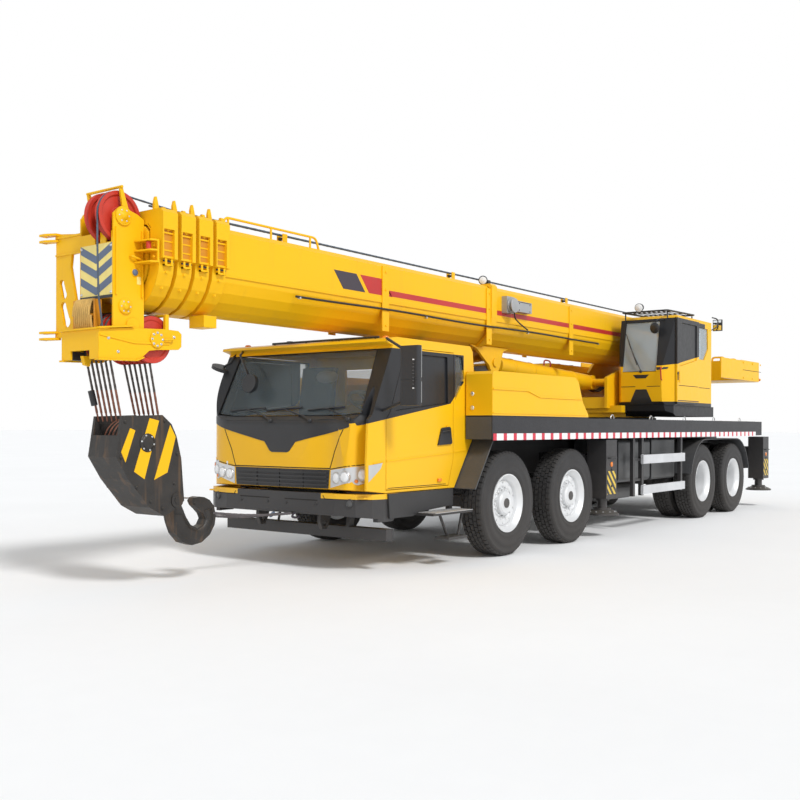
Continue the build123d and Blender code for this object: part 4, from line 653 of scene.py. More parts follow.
# mirrors: faces, strip, arms' clamps
g = G()
g.m(0).box(1.828, 1.8355, 1.300, 1.476, 1.76, 2.02); g.box(1.828, 1.8355, 1.300, 1.476, 1.54, 1.725)
g.m(1).box(1.8995, 1.902, 1.428, 1.446, 1.66, 1.92)
for z in [1.895 - 0.03 * i for i in range(8)]:
    g.m(2).box(1.9015, 1.9030, 1.424, 1.450, z - 0.0145, z + 0.0145)
g.m(2).tube([(1.9005, 1.30, 1.745), (1.9005, 1.475, 1.745)], 0.003, 6)
g.obj("mirror_faces", [mirror_m, white, black], "chassis")
# seats' head rests seen through the glass
g = G()
for y in (0.46, -0.46):
    g.m(0).lathe([(0.0, -0.12), (0.045, -0.115), (0.062, -0.07), (0.066, 0.0), (0.062, 0.07), (0.045, 0.115), (0.0, 0.12)], (0.86, y, 1.86), (0, 1, 0), 18)
g.obj("head_rests", [light_cloth], "chassis")

g = G()
for s_ in (1, -1):
    g.m(0).prism([(1.79, 0.722), (0.745, 0.722), (0.745, 0.560), (1.30, 0.530), (1.42, 0.497), (1.77, 0.497)], 'y', s_ * 1.067, s_ * 1.086)
    for i in range(22):
        x = 0.72 + 0.029 * i
        g.m(1).box(x, x + 0.006, s_ * 1.10, s_ * 1.30, 0.5235, 0.5290)
    for i in range(6):
        y = 1.105 + 0.038 * i
        g.m(1).box(0.715, 1.355, s_ * y, s_ * (y + 0.005), 0.5235, 0.5300)
g.obj("step_skirts", [black, alu], "chassis", 0.002)
# ------------------------------------------------------------------ steps, side bands, lamps along the deck
g = G()
for s_ in (1, -1):
    y = s_ * 1.3862
    L0, L1 = -7.80, 0.50; n = 84; w = (L1 - L0) / n
    for i in range(n):
        x = L0 + i * w
        h, nr = hit(("deck", "side_lockers", "side_guards"), 'y', x + w / 2, 1.23, s_)
        if h is None or abs(h.y) < 1.36:
            continue
        g.m(1 if i % 2 else 0).box(x + (0.018 if i % 2 else -0.016), x + w - (0.018 if i % 2 else -0.016), s_ * (abs(h.y) - 0.001), s_ * (abs(h.y) + 0.0022), 1.196, 1.264)
    for x in (0.35, -1.0, -2.9, -4.4, -5.9, -7.4):
        h, nr = hit(("deck", "side_lockers"), 'y', x, 1.12, s_)
        if h is not None and abs(h.y) > 1.36:
            g.m(2).box(x - 0.05, x + 0.05, h.y - s_ * 0.002, h.y + s_ * 0.016, 1.10, 1.135); g.m(3).box(x - 0.06, x + 0.06, h.y - s_ * 0.002, h.y + s_ * 0.008, 1.092, 1.143)
g.obj("side_reflectors", [white, red_r, lens_a, black], "chassis")
# locker faces: trim and step line along the sides, hinges and a latch handle on the front
g = G()
for s_ in (1, -1):
    g.m(0).prism([(0.49, 1.718), (0.49, 1.700), (-0.20, 1.700), (-0.46, 1.640), (-1.44, 1.640), (-1.44, 1.655), (-0.455, 1.657), (-0.195, 1.718)], 'y', s_ * 1.384, s_ * 1.396)
    g.m(0).prism([(0.49, 1.478), (0.49, 1.462), (-1.55, 1.462), (-1.55, 1.478)], 'y', s_ * 1.384, s_ * 1.392)
g.obj("locker_doors", [yellow_p, gap_m, alu], "chassis", 0.002)
g = G()
for s_ in (1, -1):
    for z in (1.52, 1.66):
        g.m(0).lathe([(0.022, -0.002), (0.022, 0.005), (0.012, 0.007), (0.0, 0.007)], (0.5005, s_ * 1.15, z), (1, 0, 0), 16)
    g.m(1).tube(bent([(0.498, s_ * 0.80, 1.60), (0.53, s_ * 0.80, 1.60), (0.53, s_ * 0.80, 1.78), (0.498, s_ * 0.80, 1.78)], 0.02), 0.009, 8)
g.obj("locker_ends", [alu, black], "chassis")
# hazard panels: slanted red and white on the outrigger boxes and tail


def hazard(g, x0, x1, z0, z1, y, s_, n=6):
    def cut(poly, lim, keep_above):
        out = []
        for p, q in zip(poly, poly[1:] + poly[:1]):
            pin = (p[1] >= lim) == keep_above or p[1] == lim; qin = (q[1] >= lim) == keep_above or q[1] == lim
            if pin:
                out.append(p)
            if pin != qin:
                t = (lim - p[1]) / (q[1] - p[1]); out.append((p[0] + (q[0] - p[0]) * t, lim))
        return out
    w = (z1 - z0) / n; sl = (x1 - x0)
    g.m(1).box(x0, x1, y - s_ * 0.001, y + s_ * 0.0015, z0, z1)
    for i in range(-n, n + 2):
        if i % 2:
            continue
        a = z0 + i * w
        q = [(x0, a), (x1, a + sl), (x1, a + w + sl), (x0, a + w)]
        q = cut(q, z0, True)
        q = cut(q, z1, False) if len(q) > 2 else q
        if len(q) > 2:
            g.m(0).prism(q, 'y', y - s_ * 0.0005, y + s_ * 0.0028)
    return g


for nm, s_ in (("front_left", 1), ("front_right", -1), ("rear_left", 1), ("rear_right", -1)):
    bn = "outrigger_beam_" + nm; jn = "outrigger_jack_" + nm
    lo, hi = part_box(bn); jl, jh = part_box(jn); x0, x1 = lo.x - SX, hi.x - SX; jx = (jl.x + jh.x) / 2 - SX
    g = G()
    yb = hi.y if s_ > 0 else lo.y
    for z in (0.62, 0.82):
        h, nr = hit((bn,), 'y', (x0 + x1) / 2, z, s_)
        if h is not None:
            g.m(0).bolt(h, (0, s_, 0), 0.014, 0.010)
    h, nr = hit((bn,), 'y', (x0 + x1) / 2, 0.70, s_)
    if h is not None:
        hazard(g, x0 + 0.03, x1 - 0.03, 0.52, 0.80, h.y, s_, 5)
        g.m(0)
        g.m(3).lathe([(0.030, -0.002), (0.030, 0.008), (0.0, 0.012)], (jx, h.y, 0.88), (0, s_, 0), 18)
        g.m(2).tube(bent([(x0 + 0.06, h.y, 0.96), (x0 + 0.06, h.y + s_ * 0.03, 0.96), (x1 - 0.06, h.y + s_ * 0.03, 0.96), (x1 - 0.06, h.y, 0.96)], 0.02), 0.008, 8)
    g.obj("beam_end_" + nm, [black, haz_y, black, lens_a], bn)
    g = G()
    cy = (jl.y + jh.y) / 2; cz = jl.z
    # ring of bolts on the foot plate
    for k in range(12):
        a = 2 * pi * k / 12
        h, nr = hit((jn,), 'z', jx + 0.165 * cos(a), cy + 0.165 * sin(a))
        if h is not None and h.z < 0.5:
            g.bolt(h, (0, 0, 1), 0.009, 0.009)
    if g.v:
        g.obj("foot_bolts_" + nm, [alu], jn)

# ladder rungs' caps, tail panels and tail lamps
g = G()
for s_ in (1, -1):
    for y, mi in ((0.93, 0), (0.83, 1), (0.73, 2)):
        h, nr = hit(("chassis_frame",), 'x', s_ * y, 0.86, -1)
        if h is not None:
            g.m(3).box(h.x - 0.012, h.x + 0.004, s_ * (y - 0.047), s_ * (y + 0.047), 0.805, 0.915)
            g.m(mi).box(h.x - 0.026, h.x - 0.010, s_ * (y - 0.039), s_ * (y + 0.039), 0.815, 0.905)
    for i in range(9):
        y0 = s_ * (1.35 - 0.10 * i); y1 = s_ * (1.35 - 0.10 * (i + 1))
        g.m(0 if i % 2 else 4).box(-8.1430, -8.1395, y0, y1, 1.20, 1.26)
    g.m(3).box(-8.618, -8.588, s_ * 0.30, s_ * 0.62, 0.64, 0.72)
g.m(3).box(-8.600, -8.588, -0.24, 0.24, 0.98, 1.10)
g.obj("tail_lamps", [lens_r, lens_a, lens_w, black, white], "chassis", 0.004)
# deck: plate seams, tie-down rings, spare mats
g = G()
for x in (-0.2, -1.4, -2.6, -3.8, -5.0, -6.2, -7.4):
    for s_ in (1, -1):
        h, nr = hit(("deck",), 'z', x, s_ * 1.1)
        if h is not None and 1.38 < h.z < 1.46:
            g.m(0).box(x - 0.004, x + 0.004, s_ * 0.75, s_ * 1.375, h.z - 0.002, h.z + 0.0035)
            g.m(1).tube([(x + 0.15 + 0.045 * cos(a), s_ * 1.30, h.z + 0.006 + 0.045 * abs(sin(a))) for a in [pi * i / 12 for i in range(13)]], 0.007, 8)
for s_ in (1, -1):
    for i in range(72):
        x = -2.0 - 0.083 * i
        if abs(math.hypot(x + 5.0, 0.0)) > 0.0:
            h, nr = hit(("deck",), 'z', x, s_ * 1.28)
            if h is not None and 1.38 < h.z < 1.46:
                for y in (1.06, 1.16, 1.26, 1.34):
                    g.m(0).box(x - 0.016, x + 0.016, s_ * (y - 0.006), s_ * (y + 0.006), h.z - 0.001, h.z + 0.0028)
g.obj("deck_fittings", [deck_m, alu], "chassis")
# tank on the right of the table: cap, gauge, straps; closing plate and hoses at the boom's tail
g = G()
for x in (-5.05, -5.95):
    h, nr = hit(("turntable",), 'y', x, 1.9, -1)
    if h is not None:
        g.m(0).box(x - 0.03, x + 0.03, h.y - 0.006, h.y + 0.002, 1.66, 2.14)
        for z in (1.70, 2.10):
            g.m(1).bolt((x, h.y - 0.006, z), (0, -1, 0), 0.010, 0.009)
h, nr = hit(("turntable",), 'y', -5.5, 1.9, -1)
if h is not None:
    g.m(2).box(-5.53, -5.47, h.y - 0.010, h.y + 0.002, 1.75, 2.05); g.m(1).box(-5.520, -5.480, h.y - 0.013, h.y - 0.009, 1.78, 2.02)
for x, y in ((-5.3, -0.95), (-5.75, -0.95)):
    h, nr = hit(("turntable",), 'z', x, y)
    if h is not None and h.z < 2.5:
        g.m(2).lathe([(0.055, -0.004), (0.055, 0.030), (0.048, 0.040), (0.0, 0.042)], h, (0, 0, 1), 24)
g.obj("table_tank_fittings", [yellow_p, alu, black], "superstructure", 0.002)
g = G()
g.m(0).box(-6.506, -6.498, -0.27, 0.27, 2.36, 2.92)
for y in (-0.235, 0.235):
    for z in (2.40, 2.64, 2.88):
        g.m(1).bolt((-6.506, y, z), (-1, 0, 0), 0.012, 0.010)
g.m(2).lathe([(0.10, 0.0), (0.10, 0.028), (0.080, 0.036), (0.0, 0.038)], (-6.500, 0, 2.62), (-1, 0, 0), 32)
for y in (-0.08, 0.08):
    g.m(2).tube(bent([(-6.505, y, 2.80), (-6.555, y, 2.80), (-6.555, y * 1.5, 2.50), (-6.505, y * 1.5, 2.46)], 0.05), 0.014, 8)
g.obj("boom_tail", [yellow_p, alu, hose], "boom_base", 0.002)

# ------------------------------------------------------------------ boom skin: stripes, seam ridge, brackets
for s_ in (1, -1):
    g = G(); y = s_ * 0.352; t = s_ * 0.0016
    g.m(0).prism([(1.70, 2.827), (1.36, 2.827), (1.22, 2.660), (1.56, 2.660)], 'y', y - t, y + t)
    g.m(1).prism([(1.30, 2.827), (0.92, 2.827), (0.78, 2.660), (1.16, 2.660)], 'y', y - t, y + t)
    g.m(1).prism([(0.86, 2.722), (-5.20, 2.722), (-5.20, 2.664), (0.80, 2.664)], 'y', y - t, y + t)
    g.obj("boom_stripes_%s" % ("left" if s_ > 0 else "right"), [navy, redst], "boom_base")
g = G()
for s_ in (1, -1):
    g.m(0).box(-5.9, 3.10, s_ * 0.3515, s_ * 0.3565, 2.585, 2.600)
    g.box(-5.9, 3.10, s_ * 0.3515, s_ * 0.3545, 2.600, 2.636)
    for x in (-1.10, 0.9, -3.2):
        g.prism([(x - 0.055, 2.30), (x + 0.055, 2.30), (x + 0.055, 2.96), (x - 0.055, 2.96)], 'y', s_ * 0.352, s_ * 0.3640)
        for z in (2.36, 2.52, 2.72, 2.90):
            g.bolt((x, s_ * 0.3635, z), (0, s_, 0), 0.012, 0.010)
    for x in (2.2, 0.2, -2.0, -4.0):
        g.m(2).tube([(x, s_ * 0.352, 2.50), (x, s_ * 0.385, 2.50)], 0.010, 8)
g.m(1)
for x in (-4.5, -2.5, -0.4, 1.2, 2.6):
    g.box(x - 0.03, x + 0.03, -0.32, -0.20, 2.997, 3.018)
g.obj("boom_straps", [yellow_p, black, alu], "boom_base", 0.003)
# hoses and cables along the boom's side and top
g = G()
g.m(0).tube([(x, 0.372 + 0.003 * sin(x * 3), 2.515 + 0.006 * sin(x * 2.1)) for x in [-4.0 + 0.25 * i for i in range(26)]], 0.011, 8)
for dy in (-0.29, -0.26, -0.23):
    g.tube([(x, dy, 3.010 + 0.002 * sin(x * 3 + dy * 9)) for x in [-5.6 + 0.3 * i for i in range(28)]], 0.011, 8)
g.obj("boom_hoses", [hose], "boom_base")
# control boxes and cable drum on the boom side near the middle
g = G()
g.m(0).box(-1.98, -1.62, 0.352, 0.440, 2.735, 2.865); g.box(-1.58, -1.40, 0.352, 0.425, 2.700, 2.900)
g.m(1).box(-1.96, -1.64, 0.440, 0.4425, 2.850, 2.858)
for x in (-1.93, -1.67):
    for z in (2.755, 2.835):
        g.m(1).bolt((x, 0.4395, z), (0, 1, 0), 0.007, 0.005)
g.m(0).lathe([(0.02, 0.0), (0.085, 0.004), (0.090, 0.010), (0.085, 0.016), (0.055, 0.018), (0.055, 0.050), (0.085, 0.052), (0.090, 0.058), (0.085, 0.064), (0.025, 0.066), (0.0, 0.070)], (-1.49, 0.425, 2.790), (0, 1, 0), 36)
g.m(1).tube(bent([(-1.49, 0.470, 2.735), (-1.55, 0.450, 2.64), (-1.75, 0.400, 2.60), (-1.98, 0.380, 2.54)], 0.05), 0.009, 8)
g.obj("boom_boxes", [box_grey, hose], "boom_base", 0.006)
# work lamp on the boom
g = G()
g.m(0).prism([(-1.26, 2.998), (-1.14, 2.998), (-1.14, 3.02), (-1.17, 3.03), (-1.17, 3.075), (-1.23, 3.075), (-1.23, 3.03), (-1.26, 3.02)], 'y', 0.22, 0.30)
g.m(0).lathe([(0.045, 0.0), (0.05, 0.02), (0.055, 0.075), (0.05, 0.082), (0.0, 0.080)], (-1.20, 0.22, 3.085), (0.9, 0.45, -0.2), 20)
g.m(1).lathe([(0.048, 0.080), (0.03, 0.088), (0.0, 0.090)], (-1.20, 0.22, 3.085), (0.9, 0.45, -0.2), 20)
g.obj("boom_lamp", [black, lens_w], "boom_base", 0.002)
# hand rail along the top front
g = G()
for y in (0.30, -0.30):
    for x in (3.02, 2.50, 1.98):
        g.tube([(x, y, 2.99), (x, y, 3.10)], 0.010, 8)
    g.tube(bent([(3.09, y, 2.995), (3.06, y, 3.10), (1.90, y, 3.10), (1.86, y, 2.995)], 0.05), 0.011, 8)
g.obj("boom_rail", [yellow_p], "boom_base")

# collars: inset windows, latches, bolts, straps
for i, (x0, body) in enumerate(((3.120, "boom_base"), (3.306, "boom_section_2"), (3.492, "boom_section_3"), (3.678, "boom_section_4"))):
    g = G(); nd = body
    for s_ in (1, -1):
        xm = x0 + 0.075
        h, nr = hit((nd,), 'y', xm, 2.80, s_)
        if h is not None and abs(h.y) > 0.36:
            yy = abs(h.y)
            # the inset panel takes the darker copy of the yellow: painted shade inside the recess
            g.m(1).box(x0 + 0.022, x0 + 0.128, s_ * (yy - 0.002), s_ * (yy + 0.0015), 2.655, 2.985)
            for a, b, c, d in ((x0 + 0.004, x0 + 0.024, 2.645, 2.995), (x0 + 0.126, x0 + 0.146, 2.645, 2.995), (x0 + 0.020, x0 + 0.130, 2.645, 2.662), (x0 + 0.020, x0 + 0.130, 2.980, 2.995), (x0 + 0.020, x0 + 0.130, 2.835, 2.848)):
                g.m(0).box(a, b, s_ * (yy - 0.002), s_ * (yy + 0.014), c, d)
            for z in (2.872, 2.910, 2.950):
                g.m(0).lathe([(0.017, 0.0), (0.017, 0.004), (0.010, 0.009), (0.0, 0.010)], (xm, s_ * (yy + 0.001), z), (0, s_, 0), 12)
            for z in (2.70, 2.77):
                g.m(0).box(x0 + 0.028, x0 + 0.122, s_ * (yy + 0.001), s_ * (yy + 0.006), z, z + 0.012)
            g.m(0).prism([(x0 + 0.095, 3.02), (x0 + 0.148, 3.02), (x0 + 0.148, 3.09), (x0 + 0.136, 3.132), (x0 + 0.124, 3.132), (x0 + 0.110, 3.08)], 'y', s_ * 0.30, s_ * 0.325)
        for z in (2.30, 2.42, 2.54):
            h, nr = hit((nd,), 'y', xm, z, s_)
            if h is not None and abs(h.y) > 0.30:
                g.m(0).bolt(h, (0, s_, 0), 0.012, 0.011)
        h, nr = hit((nd,), 'y', xm, 2.62, s_)
        if h is not None and abs(h.y) > 0.30:
            g.m(0).box(xm - 0.040, xm + 0.040, h.y - s_ * 0.002, h.y + s_ * 0.026, 2.585, 2.600); g.box(xm - 0.040, xm - 0.020, h.y - s_ * 0.002, h.y + s_ * 0.030, 2.585, 2.640); g.box(xm + 0.020, xm + 0.040, h.y - s_ * 0.002, h.y + s_ * 0.030, 2.585, 2.640)
            g.m(2).lathe([(0.008, -0.050), (0.008, 0.050), (0.0, 0.050)], (xm, h.y + s_ * 0.018, 2.622), (1, 0, 0), 10)
            g.m(0).tube([(xm - 0.045, h.y + s_ * 0.013, 2.622), (xm + 0.045, h.y + s_ * 0.013, 2.622)], 0.010, 8)
    for y in (-0.2, 0.0, 0.2):
        h, nr = hit((nd,), 'z', x0 + 0.075, y)
        if h is not None:
            g.m(0).bolt(h, (0, 0, 1), 0.012, 0.010)
    g.obj("collar_fittings_%d" % (i + 1), [yellow_p, painted_shade_yellow, black], body, 0.0015)

# ------------------------------------------------------------------ boom head
g = G()
X0 = 4.1308
# plate with pointed bars and the bar under it
g.m(0).box(X0 - 0.002, X0 + 0.001, -0.198, 0.198, 2.336, 2.742)


def chevron(g, zc, w, th, x):
    r_ = w * 0.46
    g.prism([(-w, zc + th + r_), (-w, zc + r_), (0.0, zc), (0.0, zc + th)], 'x', x, x + 0.002)
    g.prism([(0.0, zc + th), (0.0, zc), (w, zc + r_), (w, zc + th + r_)], 'x', x, x + 0.002)


for zc in (2.345, 2.475, 2.590):
    chevron(g.m(1), zc, 0.197, 0.062, X0 + 0.0006)
g.m(2).box(X0 - 0.01, X0 + 0.006, -0.202, 0.202, 2.318, 2.340)
for y in (-0.185, 0.185):
    for z in (2.36, 2.72):
        g.m(3).bolt((X0 + 0.001, y, z), (1, 0, 0), 0.009, 0.008)
g.obj("head_plate", [pale, slate, black, alu], "boom_head")
g = G()
# near and far side plates
for s_ in (1, -1):
    y = s_ * 0.2105
    g.m(1).lathe([(0.026, -0.002), (0.026, 0.010), (0.020, 0.016), (0.0, 0.018)], (3.928, y, 2.530), (0, s_, 0), 20)
    g.m(0).lathe([(0.034, -0.002), (0.034, 0.005), (0.0, 0.005)], (3.928, y, 2.530), (0, s_, 0), 20)
    g.m(0).tube(bent([(3.975, y - s_ * 0.005, 2.650), (3.975, y + s_ * 0.032, 2.650), (3.800, y + s_ * 0.032, 2.612), (3.800, y - s_ * 0.005, 2.612)], 0.02), 0.009, 8)
    g.m(0).lathe([(0.060, -0.002), (0.060, 0.012), (0.052, 0.016), (0.030, 0.016), (0.030, 0.026), (0.0, 0.027)], (4.020, y, 2.255), (0, s_, 0), 28)
    g.m(0).lathe([(0.066, -0.002), (0.066, 0.012), (0.058, 0.018), (0.030, 0.018), (0.026, 0.028), (0.0, 0.029)], (4.040, y, 2.955), (0, s_, 0), 28)
    for k in range(6):
        a = 2 * pi * k / 6
        g.m(3).bolt((4.040 + 0.046 * cos(a), y + s_ * 0.015, 2.955 + 0.046 * sin(a)), (0, s_, 0), 0.007, 0.006)
        g.m(3).bolt((4.020 + 0.042 * cos(a), y + s_ * 0.012, 2.255 + 0.042 * sin(a)), (0, s_, 0), 0.007, 0.006)
    # panel of a gauge, left bare
    g.m(2).box(3.852, 3.905, y - s_ * 0.001, y + s_ * 0.002, 2.44, 2.50)
    # stiffening ribs on the plate and along the lower cheeks
    for x in (3.862, 4.108):
        g.m(0).box(x - 0.006, x + 0.006, y - s_ * 0.002, y + s_ * 0.016, 2.34, 2.86)
    g.m(0).prism([(4.27, 2.030), (4.27, 2.016), (3.95, 1.972), (3.60, 1.985), (3.60, 1.999), (3.95, 1.987)], 'y', s_ * 0.2335, s_ * 0.2420)
    g.m(0).tube(bent([(3.66, s_ * 0.232, 2.020), (3.66, s_ * 0.262, 2.020), (3.575, s_ * 0.262, 2.028), (3.575, s_ * 0.232, 2.028)], 0.015), 0.008, 8)
    for k in range(8):
        a = 2 * pi * k / 8
        g.m(3).bolt((3.730 + 0.052 * cos(a), s_ * 0.248, 2.020 + 0.052 * sin(a)), (0, s_, 0), 0.008, 0.008)
    for x, z in ((4.19, 2.00), (4.10, 1.90), (3.55, 2.05)):
        g.m(3).bolt((x, s_ * 0.2335, z), (0, s_, 0), 0.010, 0.009)
g.obj("head_fittings", [yellow_p, slate, pale, alu], "boom_head")
# guide bracket ahead of the last collar
g = G()
for s_ in (1, -1):
    for z in (2.600, 2.690, 2.768):
        g.m(0).prism([(3.844, s_ * 0.208), (3.935, s_ * 0.208), (3.915, s_ * 0.385), (3.870, s_ * 0.405), (3.844, s_ * 0.405)], 'z', z, z + 0.013)
    g.m(0).box(3.844, 3.860, s_ * 0.392, s_ * 0.406, 2.600, 2.781)
    g.m(0).prism([(3.846, 2.60), (3.846, 2.50), (3.930, 2.60)], 'y', s_ * 0.205, s_ * 0.218)
    g.m(1).lathe([(0.020, 0.0), (0.020, 0.060), (0.0, 0.062)], (3.895, s_ * 0.34, 2.703), (0, 0, 1), 16)
    g.m(0).bolt((3.861, s_ * 0.36, 2.74), (1, 0, 0), 0.010, 0.010); g.bolt((3.861, s_ * 0.36, 2.65), (1, 0, 0), 0.010, 0.010)
g.obj("head_guides", [yellow_p, redm], "boom_head", 0.002)
# rope turned round the stop bar under the plate
g = G()
turns = 9; pts = []
for i in range(turns * 22 + 1):
    a = 2 * pi * i / 22; y = -0.178 + 0.0245 * i / 22
    pts.append((4.176 + 0.060 * cos(a) * 0.62, y, 2.185 + 0.125 * sin(a)))
g.tube(pts, 0.012, 10, True, None, 6, 0.08, 0.2)
g.obj("lashing", [beige], "boom_head")
g = G()
# the stop bar and its side plates take the darker copy of the yellow: painted shade under the head plate
g.m(0).tube([(4.176, -0.198, 2.185), (4.176, 0.07, 2.185)], 0.020, 14)
g.m(0).box(4.13, 4.20, -0.202, -0.180, 2.06, 2.31); g.box(4.13, 4.20, 0.058, 0.072, 2.06, 2.31)
g.m(1).box(4.150, 4.262, -0.200, -0.120, 1.840, 1.905)
g.m(2).prism([(4.150, 1.87), (4.235, 1.87), (4.215, 1.80), (4.170, 1.79)], 'y', -0.060, -0.020)
g.obj("rope_anchor", [painted_shade_yellow, black, yellow_p], "boom_head", 0.003)
# ropes over the top sheave and down to the front one
g = G()
cxs, czs, rs_ = 4.040, 2.955, 0.190
yy = 0.150
arc = [(cxs + rs_ * cos(a), yy, czs + rs_ * sin(a)) for a in [math.radians(112 - 4 * i) for i in range(29)]]
g.ropeline([(3.42, yy, 3.094), (3.70, yy, 3.112)] + arc + [(4.2300, yy - 0.002, 2.75), (4.212, 0.140, 2.33), (4.168, 0.136, 2.06)], 0.0085)
cxf, czf, rf = 3.975, 2.035, 0.183
for y in (-0.136, -0.068, 0.0, 0.068, 0.136):
    g.m(1).tube([(cxf + rf * cos(a), y, czf + rf * sin(a)) for a in [math.radians(150 - 8 * i) for i in range(22)]], 0.0095, 10, True, None, 6, 0.1, 0.2)
for y in (-0.170, -0.102, -0.034, 0.034, 0.102, 0.170):
    g.m(1).tube([(3.730 + 0.188 * cos(a), y, 2.020 + 0.188 * sin(a)) for a in [math.radians(170 - 8 * i) for i in range(24)]], 0.0095, 10, True, None, 6, 0.1, 0.2)
g.obj("head_ropes", [blue_rope, wire], "boom_head")


# falls: upper part hangs with the head, lower part rises out of it with the block
def fall_line(y, front, ys):
    if front:
        a = Vector((4.150, y, 2.01)); b = Vector((4.000, ys, 1.365))
    else:
        a = Vector((3.885, y, 2.00)) if y > 0.09 else Vector((3.760, y, 2.00)); b = Vector((3.628, ys, 1.365))
        a = Vector((3.775, y, 1.99))
    return a, b


up = G(); dn = G()
fy = (-0.148, -0.089, -0.030, 0.030, 0.089, 0.148)
axis_f = Vector((-0.275637, 0, -0.961262))
for k, y in enumerate(fy):
    for front in (True, False):
        yt = y * (1.0 if front else 1.12); yb = y * 0.98
        a, b = fall_line(yt, front, yb)
        m_ = a.lerp(b, 0.62)
        up.m(0).rope(a, m_, 0.0100, 0.018)
        up.m(1).rope(m_, a.lerp(b, 0.90), 0.0100, 0.018)
        # the inner length starts high inside the outer one
        q = a.lerp(b, 0.42)
        dn.m(1).rope(q, b, 0.0078, 0.018)
up.obj("falls_upper", [wire, wire_r], "hook_falls")
dn.obj("falls_lower", [wire, wire_r], "hook_block")

# ------------------------------------------------------------------ hook block: stripes, bolts, shaft ends
g = G()
for s_ in (1, -1):
    y = s_ * 0.1802; t = s_ * 0.0018
    g.m(0).prism([(3.754, 1.392), (3.659, 1.372), (3.804, 0.906), (3.906, 0.969)], 'y', y - t, y + t)
    g.m(0).prism([(3.545, 1.338), (3.487, 1.241), (3.572, 0.952), (3.707, 0.897)], 'y', y - t, y + t)
    g.m(0).prism([(3.945, 1.312), (3.895, 1.294), (3.989, 1.043), (4.030, 1.125)], 'y', y - t, y + t)
    for x, z in ((3.60, 1.37), (3.99, 1.36), (3.47, 1.10), (4.03, 1.08), (3.50, 0.86), (3.88, 0.84), (3.62, 0.66), (3.74, 0.72)):
        g.m(1).bolt((x, s_ * 0.1815, z), (0, s_, 0), 0.011, 0.010)
    g.m(1).lathe([(0.075, -0.001), (0.075, 0.006), (0.068, 0.010), (0.050, 0.010), (0.050, 0.0145), (0.0, 0.0145)], (3.775, s_ * 0.1800, 1.195), (0, s_, 0), 28)
    for k in range(6):
        a = 2 * pi * k / 6 + 0.2
        g.m(2).bolt((3.775 + 0.061 * cos(a), s_ * 0.1895, 1.195 + 0.061 * sin(a)), (0, s_, 0), 0.006, 0.005)
g.obj("block_stripes", [yellow_p, hookblk, alu], "hook_block")
g = G()
for y in (-0.125, -0.075, -0.025, 0.025, 0.075, 0.125):
    g.tube([(3.775 + 0.186 * cos(a), y, 1.195 + 0.186 * sin(a)) for a in [math.radians(170 - 8 * i) for i in range(42)]], 0.0085, 10, True, None, 6, 0.1, 0.2)
g.obj("block_ropes", [wire_r], "hook_block")

# ------------------------------------------------------------------ hook, forged: round section swept along its line
me = NODES["hook"].data


def hook_outline_half(th):
    """how far a ray from the bowl's centre at angle th runs before it first meets the CAD hook"""
    c = Vector((3.162 + SX, 0.0, 0.560)); d = Vector((cos(th), 0, sin(th)))
    loc, nor, _, dist = bvh(("hook",)).ray_cast(c, d, 1.0)
    return dist


g = G()
c = Vector((3.162, 0.0, 0.560)); pts = []; rs = []
inner = []
for i in range(0, 47):
    th = math.radians(88 - i * 6.2)       # from the tip, round below, to the neck
    # outermost and innermost distances by marching rays from outside and inside
    d = Vector((cos(th), 0, sin(th)))
    o = Vector((c.x + SX, 0, c.z)) + d * 0.60
    loc, nor, _, dist = bvh(("hook",)).ray_cast(o, -d, 0.60)
    if loc is None:
        continue
    rout = 0.60 - dist
    loc2, n2, _, d2 = bvh(("hook",)).ray_cast(Vector((c.x + SX, 0, c.z)), d, 0.60)
    if loc2 is None or rout - d2 < 0.015 or rout > 0.27:
        continue
    rm = (rout + d2) / 2; pts.append(c + d * rm); rs.append(((rout - d2) / 2, th))
inner = len(pts)
if inner > 12:
    n = 16; vs = []
    tk = 0.058
    for (p, (hw, th)) in zip(pts, rs):
        d = Vector((cos(th), 0, sin(th))); wy = min(tk, 0.030 + hw * 0.42)
        for j in range(n):
            a = 2 * pi * j / n
            ca, sa = cos(a), sin(a)
            rx = hw * (abs(ca) ** 0.85) * (1 if ca > 0 else -1); ry = wy * (abs(sa) ** 0.85) * (1 if sa > 0 else -1) * (1.0 - 0.22 * ca)
            v = p + d * rx; vs.append((v.x, min(max(ry, -0.0595), 0.0595), v.z))
    k = len(pts)
    fs = [(i * n + j, i * n + (j + 1) % n, (i + 1) * n + (j + 1) % n, (i + 1) * n + j) for i in range(k - 1) for j in range(n)]
    g.add(vs, fs, True); g.add(vs[:n], [tuple(range(n))]); g.add(vs[-n:], [tuple(reversed(range(n)))])
    g.m(1).tube(bent([(3.395, 0.062, 0.700), (3.30, 0.030, 0.722), (3.205, 0.012, 0.715)], 0.04), 0.007, 8)
    g.m(1).tube(bent([(3.395, -0.062, 0.700), (3.30, -0.030, 0.722), (3.205, -0.012, 0.715)], 0.04), 0.007, 8)
    g.lathe([(0.016, -0.064), (0.016, 0.064), (0.0, 0.064)], (3.395, 0, 0.700), (0, 1, 0), 14)
g.obj("hook_forging", [hookblk, alu], "hook")
g = G()
for s_ in (1, -1):
    g.lathe([(0.052, 0.0), (0.052, 0.010), (0.044, 0.014), (0.020, 0.014), (0.020, 0.020), (0.0, 0.020)], (3.470, s_ * 0.0605, 0.720), (0, s_, 0), 24)
g.obj("hook_collar", [hookblk], "hook")

